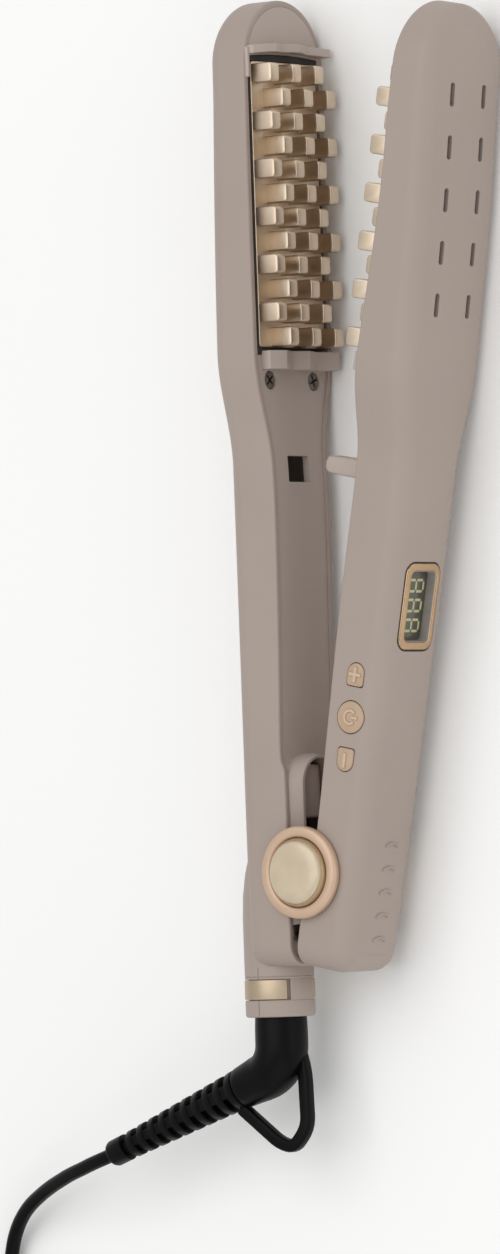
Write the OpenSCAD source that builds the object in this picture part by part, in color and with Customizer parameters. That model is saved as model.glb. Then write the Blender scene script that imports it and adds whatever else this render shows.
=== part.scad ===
// Hinged hair crimper with toothed plates, a side hinge, three buttons and a swivel cord.
// It lies on its side: +Z is the hinge axis, +Y runs to the tips, +X is the opening side.

/* [Arms] */
// Hinge axis to the tip of an arm
arm_reach = 272; // [240:1:300]
// Depth of the wide head along the hinge axis
head_depth = 40; // [36:1:48]
// Depth of the handle along the hinge axis
handle_depth = 29; // [24:0.5:34]
// Hinge axis to the tail end of the arms
tail_reach = 29; // [24:1:34]
// Hinge axis to the lower end of the wide head
head_start = 158; // [150:1:170]
// Hinge axis to the place where the handle reaches its own depth
handle_start = 131; // [120:1:140]
// Wall thickness of the covers
wall = 2; // [1.5:0.1:3]
// Outer corner radius of the arms
corner_round = 6.5; // [4:0.5:8]
// Opening angle of the arms as stored
open_angle = 11.5; // [6:0.5:14]

/* [Crimp plates] */
// Length of a crimp plate along the arm
plate_length = 90; // [80:1:100]
// Width of a crimp plate
plate_width = 33; // [28:0.5:36]
// Rows of teeth on a plate
tooth_rows = 12; // [8:1:14]
// Distance between rows
row_pitch = 7.5; // [6.5:0.1:9]
// Distance between the teeth of a row
tooth_pitch = 11.4; // [9:0.1:13]
// Width of a tooth across the arm
tooth_width = 4.2; // [3:0.1:5]
// Length of a tooth along the arm
tooth_length = 6; // [4.5:0.1:6.8]
// Height of a tooth above the plate
tooth_height = 7.8; // [5:0.1:8]

/* [Hinge] */
// Radius of the hinge pin
pin_radius = 3; // [2:0.1:4]
// Outer radius of the round hinge trim
ring_radius = 14.5; // [12:0.5:16]
// Radius of the domed disc inside the trim
disc_radius = 10.7; // [8:0.1:12]

/* [Display and buttons] */
// Hinge axis to the centre of the display
display_at = 86.5; // [70:0.5:95]
// Length of the display bezel along the arm
bezel_length = 26.6; // [22:0.1:32]
// Width of the display bezel
bezel_width = 16; // [14:0.5:22]
// Hinge axis to the centre of the power button
power_at = 50.4; // [45:0.1:56]
// Radius of the power button
power_radius = 5; // [4:0.1:6]
// How far a button travels
button_travel = 0.5; // [0.3:0.1:1]

/* [Tail and cord] */
// Radius of the round neck at the tail
neck_radius = 11.15; // [9:0.05:12]
// Radius of the strain relief where it leaves the neck
elbow_radius = 8.3; // [7:0.1:9]
// Cord diameter
cord_diameter = 4.6; // [4:0.1:6]
// Mean radius of the tied coil of spare cord
coil_radius = 28; // [24:1:34]

/* [Hidden] */
$fn = 48;
mid = head_depth / 2;
head_half = head_depth / 2;
handle_half = handle_depth / 2;
tip_centre = arm_reach - head_half;
rim_round = 1.2;
base_face_head = -8;
base_face_handle = -6.3;
base_face_knuckle = -4.2;
base_split = -10.5;
base_out_tip = -22.6;
base_out_head = -25.8;
base_out_handle = -25.2;
control_face_head = -0.2;
control_face_handle = 0.7;
control_face_knuckle = 2.6;
control_split = 4.2;
control_out_tip = 14.4;
control_out_head = 19.8;
control_out_handle = 20.8;
lid_recess = 0.8;
lid_gap = 0.1;
plate_end = 252;
plate_start = plate_end - plate_length;
plate_mid = (plate_end + plate_start) / 2;
plate_thickness = 1.6;
seat_thickness = 1.2;
heater_thickness = 1.8;
row_start = plate_mid - (tooth_rows - 1) * row_pitch / 2;
row_shift = tooth_pitch / 4;
window_half = plate_width / 2 + 1.1;
barrel_radius = 9;
barrel_half = 6.8;
ear_radius = 10;
ear_start = 7.1;
ring_start = 14.8;
ring_end = 17.6;
run_gap = 0.05;
neck_x = -21.8;
neck_end = -44.8;
neck_start = -tail_reach;
band_low = -39.3;
band_high = -33;
band_radius = 9.7;
block_from = 56;
block_to = 106;
band_rest_gap = 6.6;
bore_radius = 7.2;
bend_radius = 11;
bend_angle = 69;
bend_start = -53.1;
rib_count = 10;
rib_pitch = 4.97;
rib_start = 9.8;
hole_at = 125.6;
hole_half = 4.1;
screw_at = 152.8;
button_x = 10.7;
small_at = 13.8;
small_radius = 3.05;
vent_start = 179.7;
vent_pitch = 16.15;
arch_radius = 8.6;
arch_at = 27;
display_x = control_out_handle;
cord_radius = cord_diameter / 2;
coil_x = -181;
coil_y = -188;
coil_section = 8.2;
coil_level = 8.8;
plug_x = -214;
plug_y = -155;

// Route of the cord from the strain relief to the coil, in round numbers.
cord_route = [
  [-86, -85, mid],
  [-95, -88.2, mid - 0.3],
  [-106, -91.8, mid - 2.2],
  [-118, -95.6, mid - 5.8],
  [-130, -100.6, mid - 9.6],
  [-140, -107, mid - 12.8],
  [-146.5, -115, mid - 15.4],
  [-150.5, -124, 3],
  [-152.5, -134, 2.5],
  [-153, -145, 2.3],
  [-153, -157, 2.3],
  [-153, -169, 2.3],
  [-153, -181, 2.4]
];

// Route of the short cord end from the coil to the plug.
tail_route = [
  [-213.8, -172, 8.4],
  [-214, -167, 7.8],
  [-214, -162, 7.2],
  [plug_x, plug_y - 1, 7]
];

// Places a control arm part, drawn closed, at the stored opening angle.
module opened() { rotate([0, 0, -open_angle]) children(); }

// A rod along Y with its axis at x, z.
module rod(x, y, z, r, l, f = 32) {
  translate([x, y, z]) rotate([-90, 0, 0]) cylinder(r = r, h = l, $fn = f);
}

// A rod along X.
module cross_rod(x, y, z, r, l, f = 32) {
  translate([x, y, z]) rotate([0, 90, 0]) cylinder(r = r, h = l, $fn = f);
}

// A box given by two corners.
module block(low, high) { translate(low) cube(high - low); }

// Thin slice of an arm: inner face, outer face, half depth and inset.
module slice(y, inner, outer, half, inset) {
  side = outer > inner ? 1 : -1;
  large = corner_round - inset;
  small = max(rim_round - inset, 0.3);
  for (end = [-1, 1]) {
    rod(outer - side * (inset + large), y, mid + end * (half - inset - large), large, 0.4);
    rod(inner + side * (inset + small), y, mid + end * (half - inset - small), small, 0.4);
  }
}

// Rounded end of the head.
module head_end(inner, outer, inset) {
  side = outer > inner ? 1 : -1;
  low = min(inner + side * (inset + 0.6), outer - side * (inset + 4));
  high = max(inner + side * (inset + 0.6), outer - side * (inset + 4));
  cross_rod(low, tip_centre, mid, head_half - inset, high - low, 64);
  flat = min(inner + side * inset, outer - side * inset);
  deep = max(inner + side * inset, outer - side * inset);
  cross_rod(flat, tip_centre, mid, head_half - inset - 3.6, deep - flat, 64);
}

// Tail of an arm with rounded lower corners.
module tail_end(inner, outer, inset) {
  side = outer > inner ? 1 : -1;
  for (part = [[inner + side * (inset + 2), 2], [outer - side * (inset + 8), 8]])
    translate([part[0], part[1] - tail_reach + inset, mid - handle_half + inset + 2])
      cylinder(r = part[1], h = handle_depth - 2 * inset - 4, $fn = 32);
}

// Whole arm as a solid; inset makes the hollow.
module arm(head, handle, tip_out, head_out, handle_out, inset) {
  hull() {
    head_end(head, tip_out, inset);
    slice(head_start, head, head_out, head_half, inset);
  }
  hull() {
    slice(head_start, head, head_out, head_half, inset);
    slice(handle_start, handle, handle_out - sign(handle_out) * 0.2, handle_half, inset);
  }
  hull() {
    slice(handle_start, handle, handle_out, handle_half, inset);
    slice(-18, handle, handle_out, handle_half, inset);
    tail_end(handle, handle_out, inset);
  }
}

module base_arm(inset) {
  arm(base_face_head, base_face_handle, base_out_tip, base_out_head, base_out_handle, inset);
}

module control_arm(inset) {
  arm(control_face_head, control_face_handle, control_out_tip, control_out_head,
    control_out_handle, inset);
}

// Hollow of an arm, open at its inner face.
module base_hollow() {
  arm(base_face_head + 8, base_face_handle + 8, base_out_tip, base_out_head,
    base_out_handle, wall);
}

module control_hollow() {
  arm(control_face_head - 8, control_face_handle - 8, control_out_tip, control_out_head,
    control_out_handle, wall);
}

// Lid that closes the hollow, a little below the rim.
module base_lid() {
  lift = wall + lid_gap - lid_recess;
  arm(base_face_head + lift, base_face_handle + lift, base_out_tip, base_out_head,
    base_out_handle, wall + lid_gap);
}

module control_lid() {
  lift = wall + lid_gap - lid_recess;
  arm(control_face_head - lift, control_face_handle - lift, control_out_tip,
    control_out_head, control_out_handle, wall + lid_gap);
}

// Space swept by the ears of the control arm.
module ear_space() {
  for (low = [-1, 1])
    translate([0, 0, mid + low * 11.3]) cylinder(r = ear_radius + 0.6, h = 8.8, center = true);
}

// Space round the middle barrel of the base arm.
module barrel_space() {
  translate([0, 0, mid]) cylinder(r = barrel_radius + 0.6, h = 14, center = true);
}

module base_outer_cover() {
  color("#A3958C") difference() {
    union() {
      base_arm(0);
      hull() {
        rod(neck_x, neck_start, mid, neck_radius, 15);
        rod(neck_x + 2.4, 14, mid, 6, 1);
      }
    }
    difference() {
      base_hollow();
      block([-60, -60, -10], [60, 2 - tail_reach, 60]);
    }
    rod(neck_x, neck_start - 1, mid, bore_radius + 0.3, 14);
    ear_space();
  }
}

// Corrugated guard at one end of a plate: foot, top levels of its peaks and valleys.
module guard(foot, peak, valley, y, depth) {
  translate([0, y + depth, mid]) rotate([90, 0, 0]) linear_extrude(depth)
    polygon([[foot, 16.6], [valley, 16.6], [peak, 9.7], [valley, 3.7], [peak, -2.2],
      [valley, -8.9], [peak, -16.6], [foot, -16.6]]);
}

// Opening in an inner cover for its plate and seat.
module plate_window(low, high) {
  block([low, plate_start - 1, mid - window_half], [high, plate_end + 1, mid + window_half]);
}

module base_inner_cover() {
  color("#9E9087") difference() {
    union() {
      difference() {
        base_lid();
        block([-60, -60, -10], [base_split, 300, 60]);
      }
      block([base_split, 2.3 - tail_reach, mid - 10.2], [base_face_knuckle, -17, mid + 10.2]);
      block([base_split, -17.5, mid - handle_half + wall + lid_gap],
        [base_face_knuckle, 36, mid + handle_half - wall - lid_gap]);
      translate([0, 0, mid - barrel_half]) cylinder(r = barrel_radius, h = 2 * barrel_half);
      guard(base_face_head - lid_recess - 0.4, -3.6, -4.5, plate_end + 1.4, 3.2);
      guard(base_face_head - lid_recess - 0.4, -3.6, -4.5, plate_start - 5.8, 4.4);
    }
    plate_window(base_split - 1, 0);
    block([-20, hole_at - hole_half, mid - 5.4], [0, hole_at + hole_half, mid + 5.4]);
    ear_space();
    translate([0, 0, mid - 20]) cylinder(r = pin_radius, h = 40);
    translate([0, 0, mid - 5]) cylinder(r = 6.6, h = 10);
    cross_rod(base_split - 1, arch_at, mid, arch_radius, 12);
    block([base_split - 1, 12, mid - arch_radius], [0, arch_at, mid + arch_radius]);
    for (place = [-1, 1]) cross_rod(base_split - 1, screw_at, mid + place * 11, 1.4, 5);
    for (place = [-1, 1])
      cross_rod(base_face_head - lid_recess - 1.7, screw_at, mid + place * 11, 2.9, 5);
    cross_rod(base_split - 1, -18.5, mid + 9, 1.4, 9);
    cross_rod(base_face_knuckle - 1.6, -18.5, mid + 9, 2.4, 3);
  }
}

// Plate with staggered teeth: base level, direction and stagger.
module toothed_plate(level, side, stagger) {
  union() {
    block([min(level, level - side * plate_thickness), plate_start, mid - plate_width / 2],
      [max(level, level - side * plate_thickness), plate_end, mid + plate_width / 2]);
    for (row = [0:tooth_rows - 1], spot = [-1:1])
      translate([level + side * (tooth_height / 2 - 0.1), row_start + row * row_pitch,
        mid + spot * tooth_pitch + stagger * (row % 2 == 0 ? -1 : 1) * row_shift])
        cube([tooth_height + 0.2, tooth_length, tooth_width], center = true);
  }
}

// Insulating seat: a frame round the plate with a floor behind it.
module plate_seat(level, side) {
  back = level - side * plate_thickness;
  floor_level = back - side * seat_thickness;
  difference() {
    block([min(level - side * 0.3, floor_level), plate_start - 0.8, mid - window_half + 0.1],
      [max(level - side * 0.3, floor_level), plate_end + 0.8, mid + window_half - 0.1]);
    block([min(level + side, back), plate_start, mid - plate_width / 2],
      [max(level + side, back), plate_end, mid + plate_width / 2]);
    block([min(level, floor_level - side), plate_start + 6, mid - 9],
      [max(level, floor_level - side), plate_end - 6, mid + 9]);
  }
}

base_level = base_face_head - 0.2;
control_level = control_face_head + 0.2;

module base_plate() { color("#D9C2A4") toothed_plate(base_level, 1, 1); }
module base_plate_seat() { color("#26221F") plate_seat(base_level, 1); }

// Flat ceramic heater behind a plate.
module heater(level, side) {
  back = level - side * plate_thickness;
  block([min(back, back - side * heater_thickness), plate_start + 8, mid - 8],
    [max(back, back - side * heater_thickness), plate_end - 8, mid + 8]);
}

// Bent leaf that presses the heater on the plate.
module heater_leaf(level, side) {
  back = level - side * (plate_thickness + heater_thickness);
  block([min(back, back - side * 0.8), plate_start + 12, mid - 5],
    [max(back, back - side * 0.8), plate_end - 12, mid + 5]);
  for (place = [plate_start + 12, plate_mid, plate_end - 16])
    block([min(back - side * 0.8, back - side * 2.4), place, mid - 5],
      [max(back - side * 0.8, back - side * 2.4), place + 4, mid + 5]);
}

module base_heater() { color("#E6E1D8") heater(base_level, 1); }
module base_heater_spring() { color("#B8BABD") heater_leaf(base_level, 1); }

module base_thermal_fuse() { color("#D8D2C4") rod(-16, 134, mid, 2.2, 14); }

// Screw pair that closes a lid.
module cover_screws(face, side) {
  for (place = [-1, 1]) {
    cross_rod(min(face - side * 1.7, face - side * 0.2), screw_at, mid + place * 11, 2.8, 1.5);
    cross_rod(min(face - side * 1.7, face - side * 7.8), screw_at, mid + place * 11, 1.3, 6.1);
  }
}

module base_cover_screws() {
  color("#2B2826") cover_screws(base_face_head - lid_recess, 1);
}

module tail_screw() {
  color("#1E1C1B") union() {
    cross_rod(base_face_knuckle - 1.6, -18.5, mid + 9, 2.3, 1.4);
    cross_rod(base_face_knuckle - 7.2, -18.5, mid + 9, 1.3, 6);
  }
}

// Wedge between two angles about the neck axis, measured from +Z toward +X.
module wedge(from, to, low, high, r) {
  translate([neck_x, low, mid]) rotate([-90, 0, 0]) rotate([0, 0, from - 90])
    rotate_extrude(angle = to - from) square([r, high - low]);
}

module neck_collar() {
  color("#A3958C") difference() {
    union() {
      rod(neck_x, neck_end, mid, neck_radius, neck_start - neck_end, 64);
    }
    difference() {
      rod(neck_x, band_low - 0.3, mid, neck_radius + 1, band_high - band_low + 0.6, 64);
      rod(neck_x, band_low - 1, mid, band_radius, band_high - band_low + 2, 64);
      wedge(block_from, block_to, band_low - 1, band_high + 1, neck_radius);
    }
    rod(neck_x, neck_end - 1, mid, bore_radius, 20, 64);
    rod(neck_x, -42, mid, 8.7, 3.6, 64);
  }
}

module lock_band() {
  color("#CDB79A") difference() {
    rod(neck_x, band_low, mid, neck_radius - 0.05, band_high - band_low, 64);
    rod(neck_x, band_low - 1, mid, band_radius + run_gap, band_high - band_low + 2, 64);
    wedge(block_from - band_rest_gap, block_to + 0.4, band_low - 1, band_high + 1,
      neck_radius + 1);
  }
}

module swivel_retainer() {
  color("#2A2A2B") difference() {
    rod(neck_x, -24, mid, 7, 3, 48);
    rod(neck_x, -25, mid, 4.6, 5, 48);
  }
}

module hinge_pin() {
  color("#8E9093") translate([0, 0, mid - ring_end]) cylinder(r = pin_radius, h = 2 * ring_end);
}

module hinge_rings() {
  color("#C9AA8E") for (end = [-1, 1])
    translate([0, 0, mid]) scale([1, 1, 1]) mirror([0, 0, end < 0 ? 1 : 0])
      difference() {
        union() {
          translate([0, 0, ring_start]) cylinder(r = ring_radius, h = 1.8, $fn = 96);
          translate([0, 0, ring_start + 1.8])
            cylinder(r1 = ring_radius, r2 = ring_radius - 1, h = ring_end - ring_start - 1.8,
              $fn = 96);
        }
        translate([0, 0, ring_start - 1]) cylinder(r = pin_radius, h = 10);
        translate([0, 0, ring_start + 1.2]) cylinder(r = disc_radius + 0.1, h = 10, $fn = 96);
      }
}

module hinge_discs() {
  color("#D9CCB4") for (end = [-1, 1])
    translate([0, 0, mid]) mirror([0, 0, end < 0 ? 1 : 0])
      difference() {
        union() {
          translate([0, 0, ring_start + 1.2]) cylinder(r = disc_radius, h = 1.8, $fn = 96);
          translate([0, 0, ring_start + 3])
            cylinder(r1 = disc_radius, r2 = disc_radius - 2, h = 1.2, $fn = 96);
          translate([0, 0, ring_start + 4.2])
            cylinder(r1 = disc_radius - 2, r2 = disc_radius - 5, h = head_half - ring_start - 4.2,
              $fn = 96);
        }
        translate([0, 0, ring_start]) cylinder(r = pin_radius, h = ring_end - ring_start);
      }
}

module hinge_spring() {
  color("#7B7D80") translate([0, 0, mid]) for (turn = [-2:2])
    translate([0, 0, turn * 1.7]) rotate_extrude() translate([5.5, 0]) circle(r = 0.7, $fn = 24);
}

module vents() {
  for (row = [0:4], place = [-1, 1])
    block([8, vent_start + row * vent_pitch - 3.7, mid + place * 8 - 1.1],
      [30, vent_start + row * vent_pitch + 3.7, mid + place * 8 + 1.1]);
}

// Outline of the round-ended plus and minus buttons: flat end away from its neighbour.
module small_button(way, grow, low, high) {
  translate([button_x, power_at + way * small_at, low]) {
    cylinder(r = small_radius + grow, h = high - low);
    translate([-small_radius - grow, way > 0 ? -4.1 - grow : 0, 0])
      cube([2 * (small_radius + grow), 4.1 + grow, high - low]);
  }
}

module control_outer_cover() {
  color("#A3958C") opened() difference() {
    control_arm(0);
    control_hollow();
    vents();
    block([display_x - 8, display_at - bezel_length / 2 + 1.7, mid - bezel_width / 2 + 1.7],
      [display_x + 5, display_at + bezel_length / 2 - 1.7, mid + bezel_width / 2 - 1.7]);
    block([display_x - 1, display_at - bezel_length / 2, mid - bezel_width / 2],
      [display_x + 5, display_at + bezel_length / 2, mid + bezel_width / 2]);
    translate([button_x, power_at, mid]) cylinder(r = power_radius + 0.3, h = 30);
    block([-9, -tail_reach - 1, -1], [control_face_knuckle, 12, 60]);
    small_button(1, 0.3, mid, mid + 30);
    small_button(-1, 0.3, mid, mid + 30);
    barrel_space();
    translate([0, 0, mid - 20]) cylinder(r = pin_radius + 0.1, h = 40);
  }
}

module control_inner_cover() {
  color("#9E9087") opened() difference() {
    union() {
      difference() {
        control_lid();
        block([control_split, -60, -10], [60, 300, 60]);
      }
      for (end = [-1, 1])
        translate([0, 0, mid + end * 9.7])
          cylinder(r = ear_radius, h = 5.2, center = true, $fn = 64);
      guard(control_face_head + lid_recess + 0.4, -3.2, -4.1, plate_end + 1.4, 3.2);
      guard(control_face_head + lid_recess + 0.4, -3.2, -4.1, plate_start - 5.8, 4.4);
    }
    block([-20, -tail_reach - 1, -1], [control_face_knuckle, -ear_radius + 1, 60]);
    plate_window(-1, control_split + 1);
    block([-5, hole_at - 2.7, mid - 3], [control_split + 1, hole_at + 2.7, mid + 3]);
    barrel_space();
    translate([0, 0, mid - 20]) cylinder(r = pin_radius + run_gap, h = 40);
    for (place = [-1, 1]) cross_rod(-1, screw_at, mid + place * 11, 1.4, 6);
    for (place = [-1, 1])
      cross_rod(control_face_head + lid_recess - 3.3, screw_at, mid + place * 11, 2.9, 5);
  }
}

module control_plate() {
  color("#D9C2A4") opened() toothed_plate(control_level, -1, -1);
}

module control_plate_seat() { color("#26221F") opened() plate_seat(control_level, -1); }
module control_heater() { color("#E6E1D8") opened() heater(control_level, -1); }
module control_heater_spring() { color("#B8BABD") opened() heater_leaf(control_level, -1); }

module control_cover_screws() {
  color("#2B2826") opened() cover_screws(control_face_head + lid_recess, -1);
}

module latch_hook() {
  color("#9E9087") opened() union() {
    block([-17, hole_at - 2.7, mid - 3], [control_split, hole_at + 2.7, mid + 3]);
    block([-20.2, hole_at - 2.4, mid - 2.6], [-16, hole_at + 1.6, mid + 2.6]);
    block([control_split, hole_at - 4.5, mid - 5], [control_split + 1.6, hole_at + 4.5, mid + 5]);
  }
}

module display_bezel() {
  color("#C9A873") opened() difference() {
    block([display_x - 1, display_at - bezel_length / 2 + 0.1, mid - bezel_width / 2 + 0.1],
      [display_x + 0.5, display_at + bezel_length / 2 - 0.1, mid + bezel_width / 2 - 0.1]);
    block([display_x - 2, display_at - 11, mid - 6.4],
      [display_x + 2, display_at + 11, mid + 6.4]);
  }
}

module display_lens() {
  color("#4A4F46") opened()
    block([display_x - 3.6, display_at - 11.5, mid - 6.2],
      [display_x - 2.8, display_at + 11.5, mid + 6.2]);
}

module display_module() {
  color("#6C7264") opened()
    block([display_x - 5.6, display_at - 11.5, mid - 6.2],
      [display_x - 3.6, display_at + 11.5, mid + 6.2]);
}

module display_board() {
  color("#3E6B4A") opened()
    block([display_x - 7.2, display_at - 17, mid - 9],
      [display_x - 5.6, display_at + 17, mid + 9]);
}

module button_board() {
  color("#3E6B4A") opened() union() {
    block([6, power_at - 18, mid + 7], [15.6, power_at + 18, mid + 8.6]);
    for (place = [-small_at, 0, small_at])
      translate([button_x, power_at + place, mid + 8.6]) cylinder(r = 1.8, h = 1.6);
  }
}

button_low = mid + 10.8;
button_top = mid + handle_half + 0.4;

module power_button() {
  color("#CBB29A") opened() union() {
    translate([button_x, power_at, button_low])
      cylinder(r = power_radius, h = button_top - button_low);
    translate([button_x, power_at, button_low]) cylinder(r = power_radius + 0.8, h = 1);
  }
}

module edge_button(way) {
  union() {
    small_button(way, 0, button_low, button_top);
    small_button(way, 0.8, button_low, button_low + 1);
  }
}

module plus_button() { color("#CBB29A") opened() edge_button(1); }
module minus_button() { color("#CBB29A") opened() edge_button(-1); }

// Points the strain relief along its outlet direction from the end of the bend.
module along_outlet() {
  translate([neck_x, bend_start, mid]) translate([-bend_radius, 0, 0])
    rotate([0, 0, -bend_angle]) translate([bend_radius, 0, 0]) rotate([90, 0, 0]) children();
}

// Outline of the hanging loop, both sides of its bars.
loop_outline = [[-13.4, -55.3], [-11.3, -61.6], [-10, -79.8], [-17.8, -87.4],
  [-25.6, -85.2], [-38.7, -75.3], [-36.1, -71.9], [-23.6, -81.2],
  [-19, -82.6], [-14.4, -78.2], [-15.5, -62.4], [-17.4, -56.7]];

module strain_relief() {
  color("#1C1C1D") union() {
    rod(neck_x, bend_start - 0.4, mid, elbow_radius, neck_end - bend_start, 48);
    rod(neck_x, neck_end - 0.5, mid, bore_radius - 0.08, 21, 48);
    rod(neck_x, -41.9, mid, 8.55, 3.4, 48);
    rod(neck_x, -26, mid, 4.5, 6, 48);
    translate([neck_x, bend_start, mid]) translate([-bend_radius, 0, 0])
      rotate([0, 0, -bend_angle]) rotate_extrude(angle = bend_angle)
        translate([bend_radius, 0]) circle(r = elbow_radius - 0.9);
    along_outlet() {
      translate([0, 0, -0.5]) cylinder(r1 = elbow_radius - 1.4, r2 = 6.6, h = 9.9);
      cylinder(r1 = 5, r2 = 3.2, h = 61);
      for (rib = [0:rib_count - 1])
        translate([0, 0, rib_start + rib * rib_pitch])
          cylinder(r1 = 6.3 - rib * 0.22, r2 = 6.2 - rib * 0.22, h = 3.4);
      translate([0, 0, 59.6]) cylinder(r = 4.2, h = 7.2);
    }
  }
}

module hanging_loop() {
  color("#1C1C1D") translate([0, 0, mid - 2.15]) linear_extrude(4.3) polygon(loop_outline);
}

// Unit direction of a route at a point.
function way(route, i) =
  let (a = route[max(i - 1, 0)], b = route[min(i + 1, len(route) - 1)]) (b - a) / norm(b - a);

// Ring of points round a route point.
function ring(route, i, r, n) =
  let (t = way(route, i), s = cross(t, [0, 0, 1]) / norm(cross(t, [0, 0, 1])), u = cross(s, t))
  [for (k = [0:n - 1]) route[i] + r * (cos(360 * k / n) * s + sin(360 * k / n) * u)];

// Solid tube swept along a route.
module tube(route, r, n) {
  last = len(route) - 1;
  skin = [for (i = [0:last]) each ring(route, i, r, n)];
  sides = [for (i = [0:last - 1], k = [0:n - 1])
    [i * n + k, i * n + (k + 1) % n, (i + 1) * n + (k + 1) % n, (i + 1) * n + k]];
  polyhedron(skin, concat([[for (k = [n - 1:-1:0]) k]], sides,
    [[for (k = [0:n - 1]) last * n + k]]));
}

module cord() { color("#17181A") tube(cord_route, cord_radius, 10); }
module cord_end() { color("#17181A") tube(tail_route, cord_radius, 10); }

module cord_coil() {
  color("#17181A") translate([coil_x, coil_y, coil_level]) rotate_extrude($fn = 72)
    translate([coil_radius, 0]) circle(r = coil_section, $fn = 32);
}

module coil_tie() {
  color("#101112") translate([coil_x, coil_y + coil_radius, coil_level])
    rotate([0, 90, 0]) difference() {
      cylinder(r = coil_level, h = 5, center = true);
      cylinder(r = coil_section, h = 6, center = true);
    }
}

module plug_body() {
  color("#141516") difference() {
    union() {
      block([plug_x - 17, plug_y + 8, 0], [plug_x + 17, plug_y + 27, 14]);
      rod(plug_x, plug_y - 0.5, 7, 5, 8.5, 32);
    }
    rod(plug_x, plug_y - 2, 7, 2, 3, 32);
  }
}

module plug_pins() {
  color("#C9CBCE") for (place = [-9.5, 9.5])
    rod(plug_x + place, plug_y + 27, 7, 2, 19, 32);
}

base_outer_cover();
base_inner_cover();
base_plate();
base_plate_seat();
base_heater();
base_heater_spring();
base_thermal_fuse();
base_cover_screws();
tail_screw();
neck_collar();
lock_band();
swivel_retainer();
hinge_pin();
hinge_rings();
hinge_discs();
hinge_spring();
control_outer_cover();
control_inner_cover();
control_plate();
control_plate_seat();
control_heater();
control_heater_spring();
control_cover_screws();
latch_hook();
display_bezel();
display_lens();
display_module();
display_board();
button_board();
plus_button();
power_button();
minus_button();
strain_relief();
hanging_loop();
cord();
cord_coil();
coil_tie();
cord_end();
plug_body();
plug_pins();
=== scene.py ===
import math
import bpy
import bmesh
from mathutils import Matrix, Vector


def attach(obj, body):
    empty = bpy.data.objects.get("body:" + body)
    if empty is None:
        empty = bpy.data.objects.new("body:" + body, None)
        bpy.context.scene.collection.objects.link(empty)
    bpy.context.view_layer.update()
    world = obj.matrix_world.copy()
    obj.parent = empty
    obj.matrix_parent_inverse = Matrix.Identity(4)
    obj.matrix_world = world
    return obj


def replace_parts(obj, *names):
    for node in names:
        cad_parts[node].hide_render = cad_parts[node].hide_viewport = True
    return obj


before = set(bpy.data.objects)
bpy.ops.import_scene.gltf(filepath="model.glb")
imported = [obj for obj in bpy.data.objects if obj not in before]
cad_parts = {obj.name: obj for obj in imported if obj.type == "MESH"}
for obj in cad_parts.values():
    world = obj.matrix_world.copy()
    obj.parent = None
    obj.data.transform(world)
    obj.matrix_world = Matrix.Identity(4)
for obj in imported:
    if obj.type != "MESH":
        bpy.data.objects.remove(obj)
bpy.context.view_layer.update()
scene = bpy.context.scene
mm = 0.001
mid = 20.0
openAngle = 11.5  # degrees between the arms as drawn
openTurn = Matrix.Rotation(math.radians(-openAngle), 4, "Z")
print("stage: frame loaded")


# Colours are sRGB hex; the shader wants them linear.
def hexColour(code):
    channels = [int(code[i:i + 2], 16) / 255 for i in (1, 3, 5)]
    linear = [c / 12.92 if c <= 0.04045 else ((c + 0.055) / 1.055) ** 2.4 for c in channels]
    return (*linear, 1.0)


# Adds one node, sets its values by socket name or number, and links its inputs.
def addNode(tree, kind, values=None, links=None, **settings):
    node = tree.nodes.new(kind)
    for key, value in settings.items():
        setattr(node, key, value)
    for key, value in (values or {}).items():
        node.inputs[key].default_value = value
    for key, source in (links or {}).items():
        tree.links.new(source, node.inputs[key])
    return node


def newMaterial(name, **values):
    material = bpy.data.materials.new(name)
    material.use_nodes = True
    shader = material.node_tree.nodes["Principled BSDF"]
    for key, value in values.items():
        shader.inputs[key.replace("_", " ")].default_value = value
    return material, material.node_tree, shader


# Colour mottling, roughness spread and fine grain, all scaled from real millimetres. The
# real grain of a moulded or blasted surface is finer, and is drawn as coarse as shows.
def addSurface(tree, shader, colours, patchMm, rough, grainMm, grainDepthMm, detail=3.0):
    place = addNode(tree, "ShaderNodeTexCoord").outputs["Object"]
    patch = addNode(tree, "ShaderNodeTexNoise", {"Scale": 1000 / patchMm, "Detail": detail},
                    {"Vector": place})
    ramp = addNode(tree, "ShaderNodeValToRGB", links={"Fac": patch.outputs["Fac"]})
    ramp.color_ramp.elements[0].position = 0.3
    ramp.color_ramp.elements[1].position = 0.7
    ramp.color_ramp.elements[0].color = hexColour(colours[0])
    ramp.color_ramp.elements[1].color = hexColour(colours[1])
    tree.links.new(ramp.outputs["Color"], shader.inputs["Base Color"])
    spread = addNode(tree, "ShaderNodeMapRange",
                     {"From Min": 0.3, "From Max": 0.7, "To Min": rough[0], "To Max": rough[1]},
                     {"Value": patch.outputs["Fac"]})
    tree.links.new(spread.outputs["Result"], shader.inputs["Roughness"])
    grain = addNode(tree, "ShaderNodeTexNoise", {"Scale": 1000 / grainMm, "Detail": 2.0},
                    {"Vector": place})
    bump = addNode(tree, "ShaderNodeBump", {"Strength": 1.0, "Distance": grainDepthMm * mm},
                   {"Height": grain.outputs["Fac"]})
    tree.links.new(bump.outputs["Normal"], shader.inputs["Normal"])


# Plastic from a spark-eroded mould, then soft-touch paint or left matt: an even warm
# taupe with a wide faint sheen and no sharp highlight.
def softTouchCover(name, light, dark):
    material, tree, shader = newMaterial(name, IOR=1.5, Specular_IOR_Level=0.38)
    addSurface(tree, shader, (dark, light), 38, (0.50, 0.58), 0.35, 0.012)
    return material


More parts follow.
